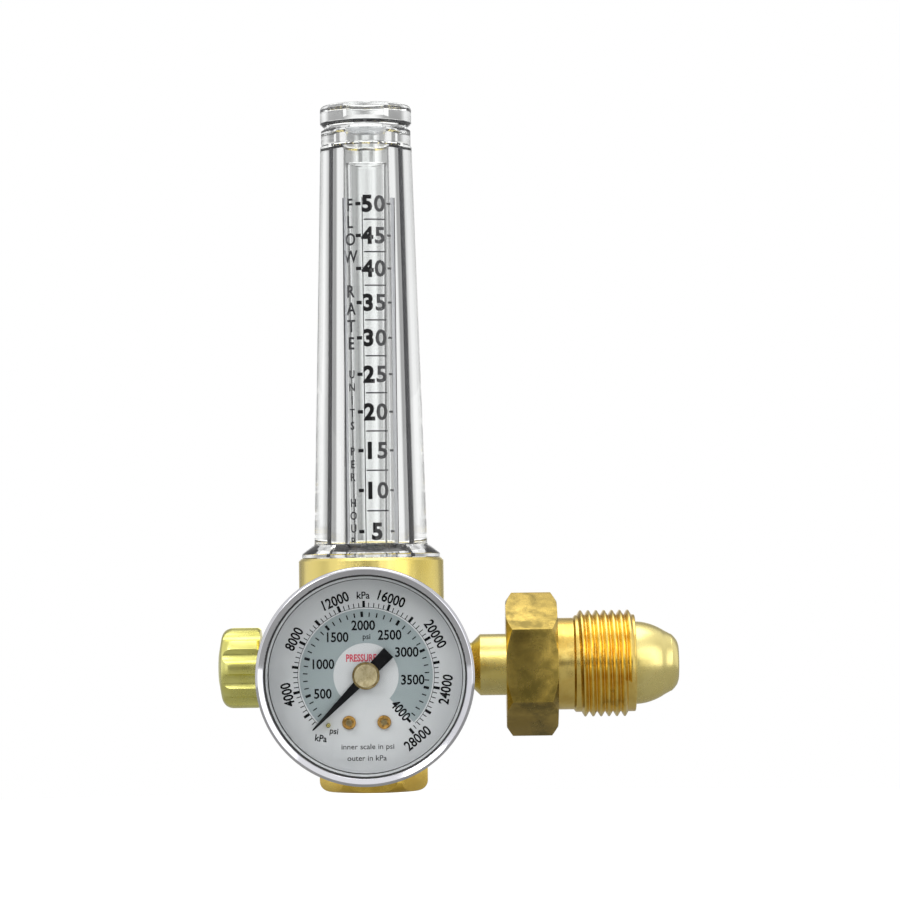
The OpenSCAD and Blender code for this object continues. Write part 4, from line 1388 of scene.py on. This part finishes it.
        # Painted shade: a thin dark disc over each screw head's middle, for the shade in its slots.
        for x, y in spots:
            shade_disc = Stock().turn([(0, top - 0.1), (0.72, top - 0.1), (0.66, top + 0.03),
                                 (0, top + 0.015)], 32)
            shade_discs.take(shade_disc.bm, Matrix.Translation((x, y, 0)))
        Job("dial_screw_painted_shade", Way.GAUGE, "brass_polished", self.palette["painted_shade_brass"]).done(
            shade_discs)
        Job("dial_screws_brass", Way.GAUGE, "brass_polished", self.palette["screw_brass"],
            ("dial_screws",)).done(made)
        low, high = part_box("stop_pin")
        across, up = (low.x + high.x) / 2 / MM, (low.z + high.z) / 2 / MM
        end, r = -low.y / MM, (high.x - low.x) / 2 / MM
        pin = Stock().turn([(0, self.face - 1), (r, self.face - 1), (r, end - 0.2),
                            (r - 0.2, end), (0, end)], 32)
        Job("stop_pin_brass", Way.GAUGE, "brass_polished", self.palette["gauge_brass"],
            ("stop_pin",)).done(Stock().take(
                pin.bm, Matrix.Translation((across, up - Way.GAUGE.height / MM, 0))))

    def pointer(self) -> None:
        """The black pointer at zero, a long blade with a broad tail."""
        low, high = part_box("pointer")
        near, far = -high.y / MM, -low.y / MM
        blade = [(-7.05, -1.45), (-7.05, 1.45), (-2.1, 1.3), (0, 1.1), (16.2, 0.2), (16.6, 0),
                 (16.2, -0.2), (0, -1.1), (-2.1, -1.3)]
        bm = bmesh.new()
        face = bm.faces.new([bm.verts.new((x, y, near)) for x, y in blade])
        up = bmesh.ops.extrude_face_region(bm, geom=[face])
        verts = [v for v in up["geom"] if isinstance(v, bmesh.types.BMVert)]
        bmesh.ops.translate(bm, verts=verts, vec=(0, 0, far - near))
        bmesh.ops.recalc_face_normals(bm, faces=bm.faces)
        stock = Stock().take(bm)
        stock.cut(Stock().turn([(0, near), (2.2, near), (2.2, far), (0, far)], 48), "UNION")
        stock.cut(Stock().turn([(0, near - 1), (1.3, near - 1), (1.3, far + 1), (0, far + 1)], 48))
        stock.soften(0.06, 40, 2)
        turned = Matrix.Rotation(math.radians(self.zero), 4, "Z")
        Job("pointer_blade", Way.GAUGE, "pointer_black", self.palette["pointer_paint"],
            ("pointer",), "pointer_shaft").done(Stock().take(stock.bm, turned))

    def hub(self) -> None:
        """The brass boss that holds the pointer, with a slotted cap."""
        low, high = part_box("pointer_hub")
        near, far, r = -high.y / MM, -low.y / MM, (high.x - low.x) / 2 / MM
        outline = [(0.5, near), (1.25, near), (1.25, near + 0.9), (r - 0.15, near + 0.9),
                   *arc((r - 0.2, near + 1.15), 0.2, -60, 60, 5), (r - 0.55, near + 1.4),
                   (0.5, near + 1.4)]
        # The hub's boss is in the dark brass, painted shade round the pale cap.
        Job("pointer_hub_brass", Way.GAUGE, "brass_polished", self.palette["painted_shade_brass"],
            ("pointer_hub",), "pointer_shaft").done(Stock().turn(outline, 72))
        top = far - 0.25
        cap = Stock().turn([(0, near + 1.42), (2.5, near + 1.42), (2.5, top - 0.1),
                            *arc((2.25, top), 0.25, 0, 90, 4), (0, far)], 72)
        cap.cut(Stock().block((5.2, 0.42, 0.5), (0, 0, far), 35))
        Job("pointer_hub_cap", Way.GAUGE, "brass_polished", self.palette["hub_brass"], (),
            "pointer_shaft").done(cap)


# ---- inlet ----
@dataclass
class InletFitting:
    """The inlet nut with its cut thread, and the nipple with its bullet nose."""

    palette: Palette
    pitch: float = 1.814
    depth: float = 1.1
    hex_length: float = 11.8
    flats: float = 28.58
    corner: float = 16.5
    neck: float = 10.55
    neck_end: float = 46.5
    head: float = 9.5
    web: float = 13
    stem: float = 7.05
    bore: float = 2.6

    def build(self) -> None:
        """Builds the nut and then the nipple."""
        self.nut()
        self.nipple()

    def nut(self) -> None:
        """The hexagon, the neck and a true helical thread."""
        span = Span.of("inlet_nut", Way.INLET)
        a, b, end = span.start, span.start + self.hex_length, span.end
        cone = 2.0
        blank = Stock().turn([
            (self.stem + 0.06, a), (self.corner - cone, a), (self.corner, a + cone * 0.7),
            (self.corner, b - cone * 0.7), (self.corner - cone, b),
            (self.stem + 0.06, b)], 192)
        blank.cut(Stock().prism(6, self.flats / 2 / math.cos(math.pi / 6), a - 1, b + 1),
                  "INTERSECT")
        blank.soften(0.22, 20, 3)
        root = 12.25 - self.depth
        barrel = Stock().turn([
            (self.head + 0.06, b - 0.01), (self.neck, b - 0.01), (self.neck, self.neck_end - 0.2),
            (root - 0.15, self.neck_end + 0.1), (root, self.neck_end + 0.3), (root, end - 0.15),
            (root - 0.15, end), (self.head + 0.06, end)], 192)
        Job("inlet_nut_hexagon", Way.INLET, "brass_raw", self.palette["nut_brass"],
            ("inlet_nut",), "inlet_nut").done(blank)
        Job("inlet_nut_thread", Way.INLET, "brass_satin", self.palette["thread_brass"], (),
            "inlet_nut").done(barrel.take(self.ridge(root, end).bm))

    def ridge(self, root: float, end: float) -> Stock:
        """The thread's ridge, swept along its helix and run out at both ends.

        Args:
            root: The radius at the thread's root.
            end: Where the nut ends.

        Returns:
            The ridge alone, sunk a little into the root.
        """
        crest, sunk, steps = root + self.depth, 0.1, 72
        turns = (end - 0.3 - self.neck_end - self.pitch) / self.pitch
        start = self.neck_end + 0.2
        section = [(root - sunk, 0.0), (root, 0.03), (crest - 0.12, 0.62), (crest, 0.74),
                   (crest, 1.02), (crest - 0.12, 1.14), (root, 1.73), (root - sunk, 1.76)]
        bm = bmesh.new()
        verts = [bm.verts.new((r, 0, start + z)) for r, z in section]
        face = bm.faces.new(verts)
        count = round(turns * steps)
        bmesh.ops.spin(
            bm, geom=[face], cent=(0, 0, 0), axis=(0, 0, 1), dvec=(0, 0, self.pitch / steps),
            angle=FULL_TURN * count / steps, steps=count,
        )

        def run_out(spot: Vector) -> Vector:
            """Sinks the ridge over its first and last part of a turn.

            Args:
                spot: A point of the ridge.

            Returns:
                The point, nearer to the root.
            """
            radius = math.hypot(spot.x, spot.y)
            along = (spot.z - start) / (turns * self.pitch + 1.76)
            fade = min(1.0, max(0.0, min(along, 1 - along) / 0.05))
            wanted = root - sunk + (radius - root + sunk) * fade
            return Vector((spot.x * wanted / radius, spot.y * wanted / radius, spot.z))

        bmesh.ops.recalc_face_normals(bm, faces=bm.faces)
        return Stock().take(bm).reshape(run_out)

    def nipple(self) -> None:
        """The turned nipple, from the body to its nose."""
        span = Span.of("inlet_nipple", Way.INLET)
        body_end, head_from = 20.1, Span.of("inlet_nut", Way.INLET).start + self.web + 0.1
        nut_end = Span.of("inlet_nut", Way.INLET).end
        nose = [(self.head - 1.9 * (t / 10) ** 2, nut_end + 0.64 * t) for t in range(1, 10)]
        outline = [
            (self.bore, span.start), (6.6, span.start), (6.6, body_end), (5.1, body_end),
            (5.1, 22.9), (self.stem, 24.85), (self.stem, head_from), (self.head, head_from),
            (self.head, nut_end), *nose, (7.6, 66.9), (7.5, 66.98), (7.12, 67.7), (6.55, 68.75),
            (6.55, 68.9), (5.85, 69.6), (5.1, 70.15), (4.2, span.end),
            (self.bore + 0.3, span.end), (self.bore, span.end - 0.3),
        ]
        stock = Stock().turn(outline, 160).soften(0.12, 24, 2)
        Job("inlet_nipple_brass", Way.INLET, "brass_polished", self.palette["nipple_brass"],
            ("inlet_nipple",)).done(stock)


# ---- outlet ----
@dataclass
class Outlet:
    """The outlet's hexagon with its rounded foot, and the socket that screws into the barrel."""

    palette: Palette
    flats: float = 22.2
    hex_height: float = 8.9
    foot: float = 2.3
    socket: float = 8.9
    bore: float = 7.2
    bore_height: float = 11.0
    throat: float = 3.0

    def build(self) -> None:
        """Builds the fitting."""
        span = Span.of("outlet_bushing", Way.TUBE)
        r, high = span.radius, self.hex_height
        hexagon = Stock().turn([
            (self.bore, 0.5), (self.bore + 0.5, 0), *arc((r - self.foot, self.foot), self.foot,
                                                         -90, 0, 8),
            (r, high - 0.4), (r - 0.4, high), (self.bore, high)], 160)
        corner = self.flats / 2 / math.cos(math.pi / 6)
        hexagon.cut(Stock().prism(6, corner, -1, high + 1, 30), "INTERSECT").soften(0.25, 25, 3)
        sleeve = Stock().turn([
            (self.bore, high - 0.5), (self.socket, high - 0.5), (self.socket, span.end),
            (self.throat, span.end), (self.throat, self.bore_height),
            (self.bore, self.bore_height)], 128)
        Job("outlet_bushing_hexagon", Way.TUBE, "brass_satin", self.palette["outlet_brass"],
            ("outlet_bushing",)).done(hexagon.take(sleeve.bm))


# ---- flow valve ----
@dataclass
class FlowValve:
    """The fluted knob; its stem and its gland nut keep their CAD shapes."""

    palette: Palette
    flutes: int = 10
    flute_cutter: float = 2.3
    flute_out: float = 1.3

    def build(self) -> None:
        """Builds the knob. The gland and the stem keep their CAD shapes."""
        span = Span.of("flow_knob", Way.VALVE)
        a, far = span.start, span.end
        r = max(span.radius, (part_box("flow_knob")[1].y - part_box("flow_knob")[0].y) / 2 / MM)
        outline = [
            (2.45, a), (r - 1.0, a), *arc((r - 0.9, a + 0.9), 0.9, -80, 0, 5), (r, far - 4.2),
            *arc((r - 2.8, far - 3.4), 2.8, 0, 78, 10), (3.6, far), (3.1, far - 0.4),
            (3.1, far - 1.6), (1.3, far - 1.6), (1.3, a + 6.4), (2.45, a + 6.4),
        ]
        tool = Stock().turn([(0, a - 1), (self.flute_cutter, a - 1),
                             (self.flute_cutter, far + 1), (0, far + 1)], 48)
        tools = tool.repeated(self.flutes, r + self.flute_out, 180 / self.flutes)
        knob = Stock().turn(outline, 240).cut(tools).soften(0.3, 30, 3)
        Job("flow_knob_brass", Way.VALVE, "brass_polished", self.palette["knob_brass"],
            ("flow_knob",), "flow_knob").done(knob)


# ---- pieces that keep their CAD shape ----
@dataclass
class CadPieces:
    """The pieces whose CAD shape is right: the shown ones are merged, eased at their edges and
    dressed, the inner ones only dressed.
    """

    palette: Palette

    eased = {
        "barrel_body": ("barrel_brass", "brass_satin", 0.25),
        "valve_bonnet": ("valve_brass", "brass_satin", 0.2),
        "rear_bonnet": ("bonnet_brass", "brass_satin", 0.25),
        "relief_body": ("bonnet_brass", "brass_polished", 0.15),
        "gauge_socket": ("gauge_brass", "brass_satin", 0.15),
        "bonnet_screws": ("plain_steel", "steel", 0.15),
        "adjuster_plug": ("black_plastic", "plastic_black", 0.3),
        "case_plug": ("black_rubber", "rubber_black", 0.2),
        "knob_screw": ("plain_steel", "steel", 0.12),
    }
    plain = {
        "black_rubber": ("stem_o_ring", "diaphragm", "poppet"),
        "plain_steel": ("needle_stem", "diaphragm_plate", "main_spring", "spring_button",
                        "adjusting_screw", "poppet_spring", "relief_plunger", "relief_spring",
                        "pinion_shaft", "hairspring"),
        "gauge_brass": ("movement_frame", "sector_gear", "tip_link", "bourdon_tube"),
        "valve_brass": ("tube_seat", "valve_nozzle"),
        "sintered_bronze": ("inlet_filter",),
    }

    def build(self) -> None:
        """Eases and dresses the shown pieces, and dresses the inner ones."""
        for node, (finish, slot, width) in self.eased.items():
            body = frame["nodes"][node]["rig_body"]
            piece = Job(node + "_eased", None, slot, self.palette[finish], (node,),
                        body).done(Stock.of_node(node))
            ease = piece.modifiers.new("eased_edges", "BEVEL")
            ease.width, ease.segments, ease.limit_method = width * MM, 3, "ANGLE"
            ease.angle_limit = math.radians(30)
            ease.harden_normals = True
        for finish, nodes in self.plain.items():
            for node in nodes:
                self.dress(node, finish)

    def dress(self, node: str, finish: str) -> None:
        """Gives a CAD node a finish.

        Args:
            node: The CAD node.
            finish: The finish's name.
        """
        mesh = frame["nodes"][node].data
        mesh.materials.clear()
        mesh.materials.append(self.palette[finish])
        LOG.info("%s keeps its CAD shape", node)


# ---- studio ----
@dataclass
class Studio:
    """A pale floor, a pale surround, soft lamps and the camera."""

    camera_at: Sequence[float] = (0.02291, -0.78415, 0.04952)
    yaw: float = 0.318
    pitch: float = 2.098
    roll: float = 0.778
    focal_pixels: float = 3393.8
    floor_drop: float = 0.045
    floor_radius: float = 0.7
    levels: Sequence[Point] = ((0, 1.0), (12, 1.0), (20, 0.35), (42, 0.35), (52, 0.9), (80, 0.9),
                               (100, 0.65), (114, 1.0), (140, 1.0), (156, 0.8),
                               (180, 0.6))
    ceiling: float = 0.95
    flag_height: float = 0.055
    flag_level: float = 0.05
    target: Sequence[float] = (0.01, 0, 0.07)

    def build(self) -> None:
        """Builds the set."""
        self.camera()
        self.floor()
        self.surround()
        self.lamp("key", (-0.55, -0.75, 0.75), 0.6, 4.0)
        self.lamp("fill", (0.6, -0.8, 0.3), 1.0, 2.8)
        self.lamp("top", (0.05, 0.1, 0.95), 0.7, 2.5)
        view = bpy.context.scene.view_settings
        view.view_transform = "Standard"
        view.look = "None"
        cycles = bpy.context.scene.cycles
        cycles.max_bounces, cycles.transmission_bounces = 24, 24
        cycles.transparent_max_bounces, cycles.glossy_bounces = 24, 8

    def camera(self) -> None:
        """The camera, turned by its yaw, pitch and roll."""
        yaw, pitch, roll = (math.radians(a) for a in (self.yaw, self.pitch, self.roll))
        ahead = Vector((-math.sin(yaw) * math.cos(pitch), math.cos(yaw) * math.cos(pitch),
                        math.sin(pitch)))
        right = Vector((math.cos(yaw), math.sin(yaw), 0))
        up = right.cross(ahead)
        x = right * math.cos(roll) - up * math.sin(roll)
        y = right * math.sin(roll) + up * math.cos(roll)
        data = bpy.data.cameras.new("camera")
        data.sensor_width = 36
        data.lens = self.focal_pixels * data.sensor_width / 900
        data.clip_start, data.clip_end = 0.01, 100
        eye = bpy.data.objects.new("camera", data)
        eye.matrix_world = Matrix.Translation(self.camera_at) @ Matrix(
            (x, y, -ahead)).transposed().to_4x4()
        bpy.context.scene.collection.objects.link(eye)
        bpy.context.scene.camera = eye

    def floor(self) -> None:
        """A round matt floor below the regulator, which its inlet holds up."""
        bm = bmesh.new()
        bmesh.ops.create_circle(bm, cap_ends=True, segments=96, radius=self.floor_radius,
                                matrix=Matrix.Translation((0, 0, -self.floor_drop)))
        mesh = bpy.data.meshes.new("floor")
        bm.to_mesh(mesh)
        bm.free()
        matt = bpy.data.materials.new("floor_matt")
        matt.use_nodes = True
        w = Wires(matt.node_tree)
        shader = matt.node_tree.nodes["Principled BSDF"]
        shader.inputs["Base Color"].default_value = (0.3, 0.3, 0.29, 1)
        shader.inputs["Roughness"].default_value = 0.9
        path = w.node("LightPath")
        seen = w.maths("MAXIMUM", path.outputs["Is Camera Ray"],
                       path.outputs["Is Transmission Ray"])
        w.feed(shader.inputs["Emission Strength"], seen)
        shader.inputs["Emission Color"].default_value = (1, 1, 1, 1)
        mesh.materials.append(matt)
        floor = bpy.data.objects.new("floor", mesh)
        bpy.context.scene.collection.objects.link(floor)

    def surround(self) -> None:
        """A surround by the angle from straight behind: white, dark flags, then pale walls."""
        world = bpy.data.worlds.new("surround")
        bpy.context.scene.world = world
        world.use_nodes = True
        w = Wires(world.node_tree)
        back = world.node_tree.nodes["Background"]
        way = w.node("TexCoord").outputs["Generated"]
        parts = w.node("SeparateXYZ", Vector=way)
        share = w.maths("DIVIDE", w.maths("ARCCOSINE", parts.outputs["Y"]), math.pi)
        ramp = w.node("ValToRGB", Fac=share)
        stops = ramp.color_ramp.elements
        for k, (angle, level) in enumerate(self.levels):
            stop = stops[k] if k < len(stops) else stops.new(angle / 180)
            stop.position = angle / 180
            stop.color = (level, level, level, 1)
        walls = w.maths("MAXIMUM", ramp.outputs["Color"],
                        w.span(parts.outputs["Z"], 0.45, 0.85, 0.0, self.ceiling))
        aside = w.maths("ABSOLUTE", w.maths("SUBTRACT", parts.outputs["Z"], self.flag_height))
        flag = w.span(aside, 0.09, 0.16, self.flag_level, 1.0)
        ahead = w.span(parts.outputs["Y"], -0.84, -0.68, 0.0, 1.0)
        lit = w.maths("MULTIPLY", walls, w.maths("MAXIMUM", flag, ahead))
        seen = w.node("LightPath").outputs["Is Camera Ray"]
        w.feed(back.inputs["Strength"], w.maths("MAXIMUM", seen, lit))
        back.inputs["Color"].default_value = (1, 1, 1, 1)

    def lamp(self, name: str, place: Sequence[float], size: float, watts: float) -> None:
        """Adds a square soft lamp that faces the middle of the regulator.

        Args:
            name: The lamp's name.
            place: Where it stands, in metres.
            size: Its side, in metres.
            watts: Its power.
        """
        data = bpy.data.lights.new(name, "AREA")
        data.shape, data.size, data.energy = "SQUARE", size, watts
        lamp = bpy.data.objects.new(name, data)
        lamp.location = place
        lamp.rotation_mode = "QUATERNION"
        aim = Vector(self.target) - Vector(place)
        lamp.rotation_quaternion = aim.to_track_quat("-Z", "Y")
        bpy.context.scene.collection.objects.link(lamp)


def main() -> None:
    """Builds the studio and the regulator."""
    logging.basicConfig(level=logging.INFO, format="%(message)s")
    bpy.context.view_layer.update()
    Studio().build()
    palette = Palette()
    for part in (CadPieces, FlowColumn, PressureGauge, InletFitting, Outlet, FlowValve):
        part(palette).build()
    bpy.context.view_layer.update()


if __name__ == "__main__":
    main()
